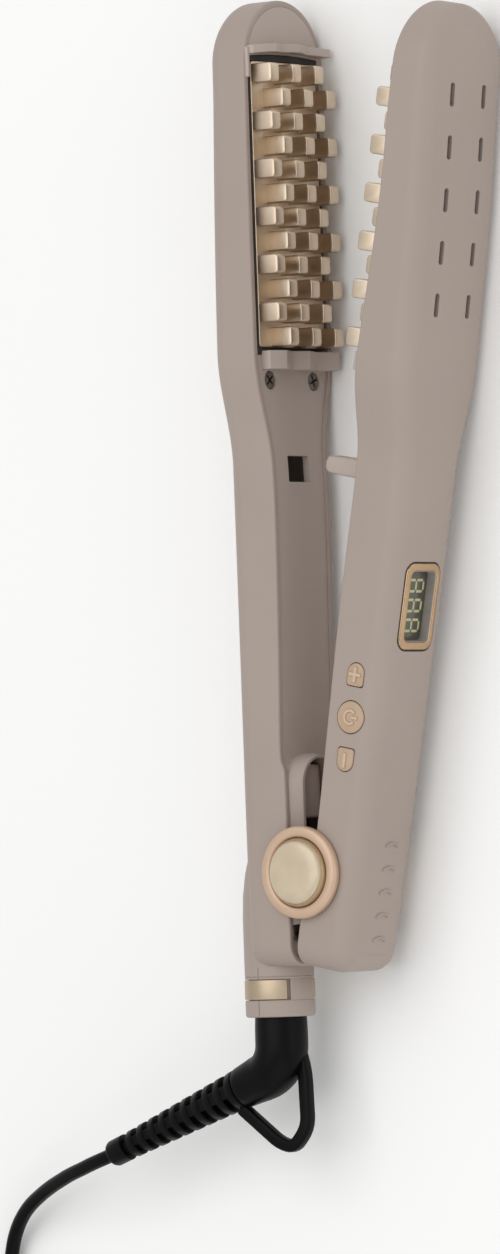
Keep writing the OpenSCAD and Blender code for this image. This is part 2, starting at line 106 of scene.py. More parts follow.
coverColours = {"coverLight": "#A79990", "coverDark": "#A3958C",
                "lidLight": "#B9ABA2", "lidDark": "#B4A69D"}
coverPaint = softTouchCover("soft_touch_painted_abs", coverColours["coverLight"],
                            coverColours["coverDark"])
# Lid, guards, hook, barrel and ears share a colour painted lighter than the cover: painted light
# that makes up for the light the opening arm keeps off the lid.
lidPlasticPaintedLighter = softTouchCover("matt_heat_resistant_nylon_painted_lighter", coverColours["lidLight"],
                            coverColours["lidDark"])

# Die-cast aluminium, bead blasted and anodised champagne: soft wide highlights on the
# teeth and brown shade between them.
champagne, tree, shader = newMaterial("bead_blasted_champagne_aluminium", Metallic=1.0)
addSurface(tree, shader, ("#CDBAA4", "#DAC9B4"), 9, (0.34, 0.42), 0.22, 0.006)

# Brass strip, bead blasted and plated champagne gold: a dull glow, hardly a reflection.
goldBand, tree, shader = newMaterial("plated_brass_strip", Metallic=1.0)
addSurface(tree, shader, ("#BBAA92", "#C6B59D"), 6, (0.46, 0.52), 0.2, 0.004)

# Copper-gold plating, polished: tight bright edges round the display.
goldPolish, tree, shader = newMaterial("polished_copper_gold_plating", Metallic=1.0)
addSurface(tree, shader, ("#B59675", "#C3A584"), 7, (0.18, 0.24), 0.6, 0.003)

# Moulded ring sprayed with pearl rose lacquer: satin colour under a clear gloss.
roseLacquer, tree, shader = newMaterial("pearl_rose_lacquer", Metallic=0.25, IOR=1.5,
                                        Coat_Weight=0.5, Coat_Roughness=0.22)
addSurface(tree, shader, ("#C6A78C", "#CDAF94"), 12, (0.36, 0.42), 0.15, 0.002)

# Domed cap sprayed with cream pearl lacquer: a pale glow that turns with the dome.
creamPearl, tree, shader = newMaterial("pearl_cream_lacquer", Metallic=0.12, IOR=1.5,
                                       Coat_Weight=0.7, Coat_Roughness=0.16)
addSurface(tree, shader, ("#C5B398", "#CFBEA4"), 8, (0.28, 0.36), 0.12, 0.002)

# Flank of the cap coloured bronze under a clear gloss, as a painted dark reflection: a darker line
# round the cream.
flankReflectionLacquer, tree, shader = newMaterial("bronze_lacquer_painted_reflection", Metallic=0.35, IOR=1.5,
                                          Coat_Weight=0.5, Coat_Roughness=0.2)
addSurface(tree, shader, ("#A58B68", "#B19774"), 6, (0.3, 0.38), 0.15, 0.002)

# Tinted ABS, a matt line darker than the key round each raised symbol: a painted shadow.
symbolShadowPaint, tree, shader = newMaterial("tinted_abs_painted_symbol_shadow", IOR=1.49)
addSurface(tree, shader, ("#A0866C", "#A88E74"), 4, (0.5, 0.6), 0.3, 0.004)

# Tinted ABS, moulded satin: a quiet highlight on the edge of each key.
buttonPlastic, tree, shader = newMaterial("satin_moulded_button_plastic", IOR=1.49,
                                          Specular_IOR_Level=0.5)
addSurface(tree, shader, ("#B59A80", "#BCA187"), 7, (0.34, 0.42), 0.3, 0.004)

# The same ABS on the raised symbols, satin, a shade lighter than the key: a painted highlight.
symbolHighlightPlastic, tree, shader = newMaterial("satin_symbol_plastic_painted_highlight", IOR=1.49,
                                          Specular_IOR_Level=0.5)
addSurface(tree, shader, ("#C6AC91", "#CDB59B"), 5, (0.3, 0.38), 0.2, 0.003)

# Glass-filled nylon, moulded round the hot plate: matt and nearly black.
blackSeat, tree, shader = newMaterial("glass_filled_black_nylon", IOR=1.53)
addSurface(tree, shader, ("#211F1E", "#2A2725"), 5, (0.55, 0.68), 0.3, 0.02)

# PVC moulded over the cord's exit, smooth from the mould: deep black, a faint sheen.
blackRubber, tree, shader = newMaterial("moulded_black_pvc", IOR=1.52, Specular_IOR_Level=0.1)
addSurface(tree, shader, ("#050506", "#09090A"), 9, (0.34, 0.42), 0.5, 0.012)

# PVC sheath, extruded: black, with a faint line of light along the cord.
cordSheath, tree, shader = newMaterial("extruded_black_pvc_sheath", IOR=1.52,
                                      Specular_IOR_Level=0.1)
addSurface(tree, shader, ("#050606", "#090A0A"), 14, (0.34, 0.42), 0.9, 0.02)

# Steel screws, phosphated: dull grey heads, dark in the cross.
darkSteel, tree, shader = newMaterial("phosphated_screw_steel", Metallic=0.9)
addSurface(tree, shader, ("#6A635D", "#7A736C"), 1.5, (0.34, 0.5), 0.25, 0.01)

# Brass, turned and nickel plated: bright pins with a narrow highlight.
nickelPins, tree, shader = newMaterial("nickel_plated_turned_brass", Metallic=1.0)
addSurface(tree, shader, ("#C4C4C6", "#D2D2D2"), 2.5, (0.16, 0.24), 0.4, 0.003)

# Steel of the hinge pin and the springs, ground: grey with a soft highlight.
springSteel, tree, shader = newMaterial("ground_spring_steel", Metallic=1.0)
addSurface(tree, shader, ("#8E9093", "#A0A2A5"), 3, (0.25, 0.35), 0.3, 0.004)

# Alumina heater plates, glazed: off-white with a mild gloss.
ceramicWhite, tree, shader = newMaterial("glazed_alumina_ceramic", IOR=1.65)
addSurface(tree, shader, ("#E2DCD2", "#EAE5DC"), 4, (0.3, 0.4), 0.4, 0.006)

# Epoxy glass board, printed with solder mask: green, half gloss.
circuitBoard, tree, shader = newMaterial("green_solder_masked_board", IOR=1.5)
addSurface(tree, shader, ("#2F5C3C", "#386B47"), 3, (0.3, 0.42), 0.5, 0.01)

# Liquid crystal cell bonded behind clear acrylic: dark olive under a sharp gloss.
darkCell, tree, shader = newMaterial("black_liquid_crystal_cell", IOR=1.5, Coat_Weight=0.6,
                                     Coat_Roughness=0.08)
addSurface(tree, shader, ("#4C493D", "#575346"), 3, (0.3, 0.36), 0.3, 0.001)

# Segment film, printed: dim yellow-green strokes, with a faint painted glow.
segmentPaintedGlow, tree, shader = newMaterial("segment_film_painted_glow", IOR=1.5, Emission_Strength=0.08,
                                       Emission_Color=hexColour("#C9CC9C"))
addSurface(tree, shader, ("#A9AA82", "#B7B78F"), 2, (0.35, 0.45), 0.4, 0.001)

# Plastic walls of the display recess, sprayed grey: a matt pale step inside the frame.
recessPaint, tree, shader = newMaterial("matt_grey_recess_paint", IOR=1.5)
addSurface(tree, shader, ("#9A958E", "#A5A09A"), 5, (0.5, 0.6), 0.3, 0.004)
print("stage: materials")


# Camera: a long lens above the arms, turned to the opening side.
cameraValues = {"lean": 2.5, "turn": 38.0, "distance": 2780.0, "right": -25.4, "up": 75.9,
                "lens": 256.9}
lean, turn = math.radians(cameraValues["lean"]), math.radians(cameraValues["turn"])
viewUp = Vector((math.sin(lean), math.cos(lean), 0))
across = Vector((math.cos(lean), -math.sin(lean), 0))
viewToward = Vector((0, 0, math.cos(turn))) + across * math.sin(turn)
viewRight = across * math.cos(turn) - Vector((0, 0, math.sin(turn)))
target = Vector((0, 0, mid)) + viewRight * cameraValues["right"] + viewUp * cameraValues["up"]
cameraData = bpy.data.cameras.new("camera")
cameraData.lens = cameraValues["lens"]
cameraData.sensor_width = 36
cameraData.clip_start, cameraData.clip_end = 0.1, 20
camera = bpy.data.objects.new("camera", cameraData)
scene.collection.objects.link(camera)
place = (target + viewToward * cameraValues["distance"]) * mm
camera.matrix_world = Matrix((
    (viewRight.x, viewUp.x, viewToward.x, place.x),
    (viewRight.y, viewUp.y, viewToward.y, place.y),
    (viewRight.z, viewUp.z, viewToward.z, place.z),
    (0, 0, 0, 1)))
scene.camera = camera
print("stage: camera")


# Mesh piece from points in millimetres, on its body, with its material.
def meshPiece(name, points, faces, material, body, slot, opened=False, sharp=38, bevel=0.0,
              segments=3):
    turned = openTurn if opened else Matrix.Identity(4)
    mesh = bpy.data.meshes.new(name)
    mesh.from_pydata([turned @ (Vector(p) * mm) for p in points], [], faces)
    work = bmesh.new()
    work.from_mesh(mesh)
    bmesh.ops.remove_doubles(work, verts=work.verts, dist=2e-6)
    bmesh.ops.recalc_face_normals(work, faces=work.faces)
    work.to_mesh(mesh)
    work.free()
    piece = bpy.data.objects.new(name, mesh)
    scene.collection.objects.link(piece)
    mesh.materials.append(material)
    if bevel:
        applyBevel(piece, bevel, segments)
    shadeByAngle(piece, sharp)
    if body:
        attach(piece, body)
    return piece


def shadeByAngle(piece, sharp):
    piece.data.polygons.foreach_set("use_smooth", [True] * len(piece.data.polygons))
    piece.data.set_sharp_from_angle(angle=math.radians(sharp))


# Makes the result of the modifiers the piece's own mesh.
def applyModifiers(piece):
    bpy.context.view_layer.update()
    made = bpy.data.meshes.new_from_object(
        piece.evaluated_get(bpy.context.evaluated_depsgraph_get()))
    piece.modifiers.clear()
    old = piece.data
    piece.data = made
    bpy.data.meshes.remove(old)


def applyBevel(piece, width, segments=3, angle=30):
    bevel = piece.modifiers.new("bevel", "BEVEL")
    bevel.width, bevel.segments = width * mm, segments
    bevel.limit_method, bevel.angle_limit = "ANGLE", math.radians(angle)
    bevel.use_clamp_overlap = True
    applyModifiers(piece)


# Cuts the cutters out of a piece, or joins them to it, then removes them.
def carve(piece, cutters, operation="DIFFERENCE", sharp=38):
    for cutter in cutters:
        step = piece.modifiers.new("carve", "BOOLEAN")
        step.operation, step.solver, step.object = operation, "EXACT", cutter
    applyModifiers(piece)
    for cutter in cutters:
        bpy.data.objects.remove(cutter)
    shadeByAngle(piece, sharp)
    finish = piece.modifiers.new("even_shading", "WEIGHTED_NORMAL")
    finish.keep_sharp = True
    return piece


# Faces of a skin through rings that all have the same count of points.
def skinFaces(start, rings, count):
    return [(start + k * count + i, start + k * count + (i + 1) % count,
             start + (k + 1) * count + (i + 1) % count, start + (k + 1) * count + i)
            for k in range(rings - 1) for i in range(count)]


# Faces of one prism: both ends, then the sides.
def prismFaces(start, count):
    ends = [tuple(range(start, start + count)), tuple(range(start + count, start + 2 * count))]
    return ends + skinFaces(start, 2, count)


# Prism: an outline in the plane of two axes, from low to high along the third.
def prism(name, outline, axis, low, high, material=coverPaint, body=None, slot=None,
          opened=False, **shape):
    order = {"x": (2, 0, 1), "y": (0, 2, 1), "z": (0, 1, 2)}[axis]
    points = [[(*p, level)[k] for k in order] for level in (low, high) for p in outline]
    return meshPiece(name, points, prismFaces(0, len(outline)), material, body, slot, opened,
                     **shape)


# Prism of the opening arm with an opening cut through it.
def hollowPrism(name, outline, opening, axis, span, cut, material):
    piece = prism(name, outline, axis, *span, material, None, None, True)
    carve(piece, [prism("opening", opening, axis, *cut, opened=True)])
    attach(piece, "control")


# Rounded rectangle: centre, full size, corner radius.
def roundedBox(centre, size, radius, steps=5):
    points = []
    for k, (sx, sy) in enumerate(((1, 1), (-1, 1), (-1, -1), (1, -1))):
        for i in range(steps + 1):
            a = math.radians(90 * k + 90 * i / steps)
            points.append((centre[0] + sx * (size[0] / 2 - radius) + radius * math.cos(a),
                           centre[1] + sy * (size[1] / 2 - radius) + radius * math.sin(a)))
    return points


def circle(centre, radius, steps=48):
    return [(centre[0] + radius * math.cos(2 * math.pi * i / steps),
             centre[1] + radius * math.sin(2 * math.pi * i / steps)) for i in range(steps)]


# Skin through rings of points; both ends are closed unless told otherwise.
def loft(name, rings, material, body, slot, opened=False, closed=True, **shape):
    count = len(rings[0])
    points = [p for ring in rings for p in ring]
    faces = skinFaces(0, len(rings), count)
    if closed:
        faces += [tuple(range(count)), tuple(range(len(points) - count, len(points)))]
    return meshPiece(name, points, faces, material, body, slot, opened, **shape)


# Turned shape about an axis parallel to Z: profile of radius and height.
def lathe(name, centre, profile, material, body, slot, opened=False, steps=96, closed=True,
          **shape):
    rings = [[(centre[0] + r * math.cos(2 * math.pi * i / steps),
               centre[1] + r * math.sin(2 * math.pi * i / steps), h) for i in range(steps)]
             for r, h in profile]
    return loft(name, rings, material, body, slot, opened, closed, **shape)


# Smooth curve through (place, value) pairs.
def smoothCurve(pairs):
    def value(y):
        if y <= pairs[0][0]:
            return pairs[0][1]
        if y >= pairs[-1][0]:
            return pairs[-1][1]
        k = max(i for i in range(len(pairs) - 1) if pairs[i][0] <= y)
        slopes = [0 if i in (0, len(pairs) - 1) else
                  (pairs[i + 1][1] - pairs[i - 1][1]) / (pairs[i + 1][0] - pairs[i - 1][0])
                  for i in range(len(pairs))]
        width = pairs[k + 1][0] - pairs[k][0]
        t = (y - pairs[k][0]) / width
        return ((2 * t ** 3 - 3 * t ** 2 + 1) * pairs[k][1] + (t ** 3 - 2 * t * t + t) *
                width * slopes[k] + (3 * t * t - 2 * t ** 3) * pairs[k + 1][1] +
                (t ** 3 - t * t) * width * slopes[k + 1])
    return value


# Cord: visible route, a neat coil outside the view, then the plug.
cordValues = {"diameter": 4.6, "coilCentre": (-181, -187.85), "coilRadius": 28, "coilLevel": 8.8,
              "ring": 6.01, "turns": 8, "lastArc": 168, "perTurn": 40,
              "innerMoves": ((300, 56), (245, 56)), "ringMove": (190, 55),
              "exit": (-91.0, -87.3, 20.0)}
cordRoute = [(-88, -86.1, 20), (-91, -87.2, 20), (-95, -88.5, 19.8), (-100, -90, 19.1),
             (-106, -91.9, 17.8), (-112, -93.7, 16.2), (-118, -95.8, 14.3),
             (-124, -98.1, 12.3), (-130, -100.9, 10.3), (-135.5, -104, 8.5),
             (-140, -107.6, 6.9), (-143.6, -111.6, 5.4), (-146.4, -116.5, 4.2),
             (-148.2, -122.5, 3.3), (-149, -129, 2.7), (-149.2, -138, 2.4),
             (-149, -150, 2.35), (-148.8, -162, 2.4), (-148.75, -172, 2.8),
             (-148.75, -180, 3.7)]
plugEnd = [(-214.7, -182, 8.8), (-214.4, -175, 8.5), (-214.1, -168, 7.9), (-214, -161, 7.3),
           (-214, -154, 7.0), (-214, -148, 7.0)]


# The turns lie on a ring round a middle one, and change places one after the other.
def coilPoints():
    ring = cordValues["ring"]
    slots = [(ring * math.cos(math.radians(a)), ring * math.sin(math.radians(a)))
             for a in (-45, -90, -135, 180, 135, 90, 45, 0)]
    order = [slots[0], (0, 0)] + slots[1:]

    def blend(t):
        t = min(1, max(0, t))
        return t * t * (3 - 2 * t)

    points = []
    turns = cordValues["turns"]
    for strand in range(turns + 1):
        for step in range(cordValues["perTurn"]):
            around = 360 * step / cordValues["perTurn"]
            if strand == turns and around > cordValues["lastArc"]:
                break
            first = order[strand]
            if strand < turns:
                second = order[strand + 1]
                if strand >= len(cordValues["innerMoves"]):
                    since, run = cordValues["ringMove"]
                    share = blend((around - since) / run)
                    a = math.atan2(first[1], first[0])
                    b = a - share * math.radians(45)
                    offset = (ring * math.cos(b), ring * math.sin(b))
                else:
                    since, run = cordValues["innerMoves"][strand]
                    share = blend((around - since) / run)
                    offset = (first[0] + share * (second[0] - first[0]),
                              first[1] + share * (second[1] - first[1]))
            else:
                offset = first
            radius = cordValues["coilRadius"] + offset[0]
            a = math.radians(around)
            points.append((cordValues["coilCentre"][0] + radius * math.cos(a),
                           cordValues["coilCentre"][1] - radius * math.sin(a),
                           cordValues["coilLevel"] + offset[1]))
    return points


cordPath = cordRoute + coilPoints() + plugEnd
cordCurve = bpy.data.curves.new("cord_sheath", "CURVE")
cordCurve.dimensions = "3D"
cordCurve.bevel_depth = cordValues["diameter"] / 2 * mm
cordCurve.bevel_resolution = 5
cordCurve.resolution_u = 4
spline = cordCurve.splines.new("BEZIER")
spline.bezier_points.add(len(cordPath) - 1)
for k, p in enumerate(cordPath):
    spline.bezier_points[k].co = Vector(p) * mm
    spline.bezier_points[k].handle_left_type = "AUTO"
    spline.bezier_points[k].handle_right_type = "AUTO"
cordSheathPiece = bpy.data.objects.new("cord_sheath", cordCurve)
scene.collection.objects.link(cordSheathPiece)
cordCurve.materials.append(cordSheath)
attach(cordSheathPiece, "swivel")
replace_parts(cordSheathPiece, "cord", "cord_coil", "cord_end")

# Plug: flat two-pin body with a grip waist, and its two pins.
plugValues = {"x": -214, "y": -155, "level": 7, "pinSide": 9.5, "pinSteps": 24,
              "pin": [(2.0, 27), (2.0, 44.5), (1.85, 45.2), (1.4, 45.8), (0.7, 46)],
              "body": [(0, 9, 9, 4.4), (4, 9.6, 9.2, 4.5), (7.5, 13, 10.4, 5),
                       (10, 21, 12, 5.6), (14, 27, 13.2, 6), (18, 29.5, 13.4, 6),
                       (22, 32.6, 13.6, 6.2), (26, 33.6, 13.6, 6.2), (27, 33, 13, 6)]}
rings = []
for step, width, depth, corner in plugValues["body"]:
    section = roundedBox((0, 0), (width, depth), min(corner, depth / 2 - 0.05), 6)
    rings.append([(plugValues["x"] + a, plugValues["y"] + step, plugValues["level"] + b)
                  for a, b in section])
plugBody = loft("plug_moulding", rings, blackRubber, "swivel", "black_rubber", sharp=50)
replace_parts(plugBody, "plug_body")
pinPoints, pinFaces = [], []
steps = plugValues["pinSteps"]
for side in (-1, 1):
    start = len(pinPoints)
    for r, step in plugValues["pin"]:
        pinPoints += [(plugValues["x"] + side * plugValues["pinSide"] +
                       r * math.cos(2 * math.pi * i / steps), plugValues["y"] + step,
                       plugValues["level"] + r * math.sin(2 * math.pi * i / steps))
                      for i in range(steps)]
    pinFaces += skinFaces(start, len(plugValues["pin"]), steps)
    pinFaces += [tuple(range(start, start + steps)),
                 tuple(range(len(pinPoints) - steps, len(pinPoints)))]
plugPins = meshPiece("plug_pin_pair", pinPoints, pinFaces, nickelPins, "swivel", "plug_metal")
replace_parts(plugPins, "plug_pins")
print("stage: plug")


# Outline of an arm seen along X: half width along Z at each place, rounded at both ends.
armValues = {"tip": 272.0, "tipRadius": 20.0, "tail": -29.0, "tailRadius": 7.0,
             "handleHalf": 14.5, "headHalf": 20.0, "bendLow": 127.0, "bendHigh": 162.0,
             "step": 5.3, "fineStep": 1.1, "fine": (28, 38), "headStep": 5.6}


def armOutline():
    v = armValues
    half = [(v["tail"], 0.0), (v["tail"], 2.5), (v["tail"], 5.0)]
    cy, cz = v["tail"] + v["tailRadius"], v["handleHalf"] - v["tailRadius"]
    for i in range(9):
        a = math.radians(-90 + 90 * i / 8)
        half.append((cy + v["tailRadius"] * math.sin(a), cz + v["tailRadius"] * math.cos(a)))
    y = cy + 4
    while y < v["bendLow"]:
        half.append((y, v["handleHalf"]))
        y += v["fineStep"] if v["fine"][0] < y < v["fine"][1] else v["step"]
    steps = 16
    for i in range(steps + 1):
        t = i / steps
        half.append((v["bendLow"] + t * (v["bendHigh"] - v["bendLow"]), v["handleHalf"] +
                     (v["headHalf"] - v["handleHalf"]) * t * t * (3 - 2 * t)))
    y = v["bendHigh"] + 5
    centre = v["tip"] - v["tipRadius"]
    while y < centre - 1:
        half.append((y, v["headHalf"]))
        y += v["headStep"]
    for i in range(31):
        a = math.radians(90 * i / 30)
        half.append((centre + v["tipRadius"] * math.sin(a), v["tipRadius"] * math.cos(a)))
    half[-1] = (v["tip"], 0.0)
    loop = half + [(y, -z) for y, z in reversed(half[1:-1])]
    normals = []
    for i in range(len(loop)):
        a, b = Vector(loop[i - 1]), Vector(loop[(i + 1) % len(loop)])
        run = (b - a).normalized()
        normals.append((run.y, -run.x))
    return loop, normals


armLoop, armNormals = armOutline()
# The loop runs tail, +Z side, tip; its outward normal points away from the arm.
if armNormals[len(armLoop) // 4][1] < 0:
    armNormals = [(-a, -b) for a, b in armNormals]


# One ring of the arm: outline inset by a distance, each point at its own level along X.
def armRing(inset, level):
    return [(level(y), y - inset * ny, mid + z - inset * nz)
            for (y, z), (ny, nz) in zip(armLoop, armNormals)]


# Fills a ring with strips between its two sides, slightly crowned.
def fillRing(points, faces, start, count, crown, strips=8):
    half = count // 2
    columns = [[start]]
    for i in range(1, half):
        a, b = Vector(points[start + i]), Vector(points[start + count - i])
        column = [start + i]
        for step in range(1, strips):
            t = step / strips
            p = a.lerp(b, t)
            p.x += crown * 4 * t * (1 - t) * min(1.0, (a - b).length / 20)
            points.append(tuple(p))
            column.append(len(points) - 1)
        column.append(start + count - i)
        columns.append(column)
    columns.append([start + half])
    for a, b in zip(columns, columns[1:]):
        if len(a) == 1:
            faces += [(a[0], b[k], b[k + 1]) for k in range(len(b) - 1)]
        elif len(b) == 1:
            faces += [(a[k], b[0], a[k + 1]) for k in range(len(a) - 1)]
        else:
            faces += [(a[k], b[k], b[k + 1], a[k + 1]) for k in range(len(a) - 1)]


# Closed solid from arm rings, filled at both ends.
def armSolid(name, rings, crowns, material, body, slot, opened):
    count = len(rings[0])
    points = [p for ring in rings for p in ring]
    faces = skinFaces(0, len(rings), count)
    fillRing(points, faces, 0, count, crowns[0])
    fillRing(points, faces, (len(rings) - 1) * count, count, crowns[1])
    return meshPiece(name, points, faces, material, body, slot, opened)


# Cover: rounded outer corner, side wall, small rim and a hollow behind it. The corner gets
# shallower towards the tip.
def coverShell(name, outer, inner, side, body, opened, shape):
    share, tipFrom, tipRun = shape["tip"]
    rings = []
    for i in range(9):
        a = math.radians(90 - 90 * i / 8)
        inset = shape["corner"] * (1 - math.cos(a))
        drop = shape["corner"] * (1 - math.sin(a))
        rings.append(armRing(inset, lambda y, d=drop: outer(y) - side * d *
                             (1 - share * max(0, min(1, (y - tipFrom) / tipRun)))))
    for i in range(5):
        a = math.radians(90 * i / 4)
        inset = shape["rim"] * (1 - math.cos(a))
        rise = shape["rim"] * (1 - math.sin(a))
        rings.append(armRing(inset, lambda y, d=rise: inner(y) + side * d))
    rings.append(armRing(shape["wall"] - 0.12, inner))
    rings.append(armRing(shape["wall"], lambda y: inner(y) + side * 0.12))
    for inset, depth in shape["hollow"]:
        rings.append(armRing(shape["wall"] + inset, lambda y, d=depth: outer(y) - side * d))
    return armSolid(name, rings, (side * 0.35, 0), coverPaint, body, "cover_plastic", opened)


# Room in the cord arm for the two ears of the other arm, below and above the barrel.
earValues = {"radius": 10.6, "from": 11.3, "half": 4.4}


def earSpaces():
    v = earValues
    return [prism("ear_space", circle((0, 0), v["radius"]), "z", mid + s * v["from"] - v["half"],
                  mid + s * v["from"] + v["half"]) for s in (-1, 1)]


# Cord arm cover with its round neck and hinge clearance.
coverShape = {"corner": 6.5, "rim": 0.8, "wall": 2.0, "tip": (0.25, 240, 20),
              "hollow": ((0.0, 5.0), (2.2, 2.6))}
baseOut = smoothCurve([(-29, -24.6), (0, -25.0), (80, -25.2), (128, -25.4), (159, -25.8),
                       (200, -25.2), (252, -23.6), (272, -22.8)])
baseIn = smoothCurve([(-29, -6.2), (31.2, -6.2), (35.4, -7.6), (54, -7.3), (80, -6.7),
                      (119, -6.5), (150, -8.0), (272, -8.2)])
baseCover = coverShell("cord_arm_cover", baseOut, baseIn, -1, "base", False, coverShape)
neckSteps = [(20, 4.5, -19.8), (15, 6.7, -20.2), (8, 8.7, -20.8), (0, 10.1, -21.4),
             (-7, 10.7, -21.8), (-14, 10.85, -21.95), (-29.2, 10.85, -21.95)]
neckRings = [[(cx + r * math.cos(2 * math.pi * i / 64), y,
               mid + r * math.sin(2 * math.pi * i / 64)) for i in range(64)]
             for y, r, cx in neckSteps]
carve(baseCover, [loft("neck", neckRings, coverPaint, None, None)], "UNION", 32)
carve(baseCover, earSpaces())
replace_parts(baseCover, "base_outer_cover")
print("stage: cord arm cover")

# Opening arm cover: vents, display recess, button holes and room for the hinge.
controlOut = smoothCurve([(-29, 20.2), (0, 20.5), (20, 20.7), (86, 20.8), (128, 20.5),
                          (160, 19.4), (180, 18.6), (196, 17.9), (212, 17.1), (228, 15.9),
                          (244, 14.5), (258, 13.4), (272, 11.9)])
controlIn = smoothCurve([(-29, 1.0), (-12, 1.0), (12, 2.8), (18, 2.8), (49, 1.8), (78, 0.9),
                         (119, 0.5), (135, 0.2), (150, -0.7), (168, -0.6), (198, 0.3),
                         (219, 0.2), (240, -0.8), (272, -1.0)])
controlCover = coverShell("opening_arm_cover", controlOut, controlIn, 1, "control", True,
                          coverShape)
ventValues = {"first": 179.7, "pitch": 16.15, "offset": 8.0, "length": 7.4, "width": 2.1}
displayValues = {"at": 86.5, "off": 0.3, "cut": (23.4, 13.4), "seat": (28.0, 17.8),
                 "frame": (27.1, 16.9), "frameOff": -0.1, "frameOpening": (22.0, 12.7),
                 "gapShade": (28.1, 17.9), "gapShadeOpening": (24.4, 14.2), "walls": (23.3, 13.3),
                 "wallsOpening": (21.8, 12.2), "glass": (23.2, 13.2), "digits": 3,
                 "digitFirst": 92.6, "digitPitch": 6.2, "digitAcross": 19.3,
                 "digitShape": (3.5, 7.3, 0.82)}
buttonValues = {"x": 10.7, "power": 50.4, "small": 13.8, "smallRadius": 3.05, "flat": 4.1,
                "radius": 5.0, "corner": 0.9, "bulge": 0.27, "gapShadeLow": 31.2, "gapShadeHigh": 33.9}
buttonX, powerY = buttonValues["x"], buttonValues["power"]
plusY, minusY = powerY + buttonValues["small"], powerY - buttonValues["small"]


# Rounded outline at the display, on the arm's mid line or a little across from it.
def displayOutline(part, corner, off=0.0, steps=5):
    return roundedBox((displayValues["at"], mid + off), displayValues[part], corner, steps)


def powerOutline(grow):
    return circle((buttonX, powerY), buttonValues["radius"] + grow, 64)


def smallOutline(way, grow):
    v = buttonValues
    x, far, near = v["x"], v["corner"], v["bulge"]
    cy = v["power"] + way * v["small"]
    r = v["smallRadius"] + grow
    tail = cy - way * (v["flat"] + grow)
    points = [(x + r * math.cos(a), cy + way * r * math.sin(a))
              for a in (math.pi * i / 16 for i in range(17))]
    return points + [(x - r, tail + way * far), (x - r + near, tail + way * near),
                     (x - r + far, tail), (x + r - far, tail),
                     (x + r - near, tail + way * near), (x + r, tail + way * far)]


cutters = []
for row in range(5):
    for side in (-1, 1):
        y = ventValues["first"] + row * ventValues["pitch"]
        cutters.append(prism("vent", roundedBox((y, mid + side * ventValues["offset"]),
                             (ventValues["length"], ventValues["width"]), 0.9), "x", 6, 30,
                             opened=True))
cutters.append(prism("window", displayOutline("cut", 2.2), "x", 10, 30, opened=True))
cutters.append(prism("bezel_seat", displayOutline("seat", 4.1, displayValues["off"]), "x", 19.9,
                     30, opened=True))
cutters.append(prism("power_hole", powerOutline(0.28), "z", 27, 40, opened=True))
for way in (-1, 1):
    cutters.append(prism("small_hole", smallOutline(way, 0.28), "z", 27, 40, opened=True))


# Room in the opening arm for the barrel of the other arm and for the hinge pin.
def hingeSpaces():
    return [prism("barrel_space", circle((0, 0), 9.6), "z", mid - 7, mid + 7, opened=True),
            prism("pin_bore", circle((0, 0), 3.2), "z", mid - 21, mid + 21, opened=True)]


carve(controlCover, cutters + hingeSpaces())
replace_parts(controlCover, "control_outer_cover")

# Five raised grip marks, each a shallow arc across the outer face.
gripValues = {"places": (11.9, 4.4, -2.9, -10.3, -17.8), "across": 18.9, "radius": 5.2,
              "span": 36, "width": 0.65, "rise": 0.4}
for k, place in enumerate(gripValues["places"]):
    arc = []
    for way, order in ((1, range(13)), (-1, range(12, -1, -1))):
        r = gripValues["radius"] + way * gripValues["width"] / 2
        for i in order:
            a = math.radians(gripValues["span"] * (2 * i / 12 - 1))
            arc.append((place + 0.5 - gripValues["radius"] + r * math.cos(a),
                        gripValues["across"] + r * math.sin(a)))
    level = controlOut(place) + 0.33
    prism(f"grip_mark_{k + 1}", arc, "x", level - 0.7, level + gripValues["rise"], coverPaint,
          "control", "cover_plastic", True, bevel=0.14, segments=3)

# Black ring in the gap round each button, below the arm's surface: painted shade that darkens the
# gap.
gapShadeSpan = (buttonValues["gapShadeLow"], buttonValues["gapShadeHigh"])
hollowPrism("power_gap_shade", powerOutline(0.4), powerOutline(0.04), "z", gapShadeSpan, (30, 36),
            blackSeat)
for way, label in ((1, "plus"), (-1, "minus")):
    hollowPrism(label + "_gap_shade", smallOutline(way, 0.4), smallOutline(way, 0.04), "z", gapShadeSpan,
                (30, 36), blackSeat)
print("stage: opening arm cover")

# Thin lid that closes an arm, a little below its rim: inset and depth of each ring.
lidEdge = ((2.12, 0.0), (2.04, 0.03), (2.02, 0.1), (2.02, 2.4))


def lidSolid(name, level, side, body, opened):
    rings = [armRing(inset, lambda y, d=depth: level(y) + side * d) for inset, depth in lidEdge]
    return armSolid(name, rings, (0, 0), lidPlasticPaintedLighter, body, "inner_cover_plastic", opened)


# Lid of the cord arm with its knuckle block, arch pocket, latch hole and plate window.
lidValues = {"window": (160.9, 254.0, 17.45), "windowRise": 0.9, "arch": 27.3, "latchAt": 125.6,
             "latch": (8.2, 10.8), "screwAt": 153.2, "screwSide": 11.0, "tailAt": -18.5,
             "tailSide": 10.2}
baseLidLevel = smoothCurve([(-29, -6.6), (31.2, -6.6), (35.4, -8.1), (54, -7.8), (119, -7.2),
                            (150, -8.8), (246, -8.9), (251, -8.3), (272, -8.22)])
controlLidLevel = smoothCurve([(-29, 1.6), (-12, 1.6), (12, 3.4), (18, 3.4), (49, 2.5),
                               (78, 1.7), (119, 1.3), (135, 1.0), (150, 0.2), (168, 0.2),
                               (198, 0.9), (219, 0.8), (240, -0.1), (246, -0.2), (251, -0.8),
                               (272, -0.95)])


# Arch seen along X: half width, rise above its centre, lower end.
def archOutline(half, rise, low=12.0):
    points = [(lidValues["arch"] + rise * math.sin(a), mid + half * math.cos(a))
              for a in (math.pi * i / 28 for i in range(29))]
    return points + [(low, mid - half), (low, mid + half)]


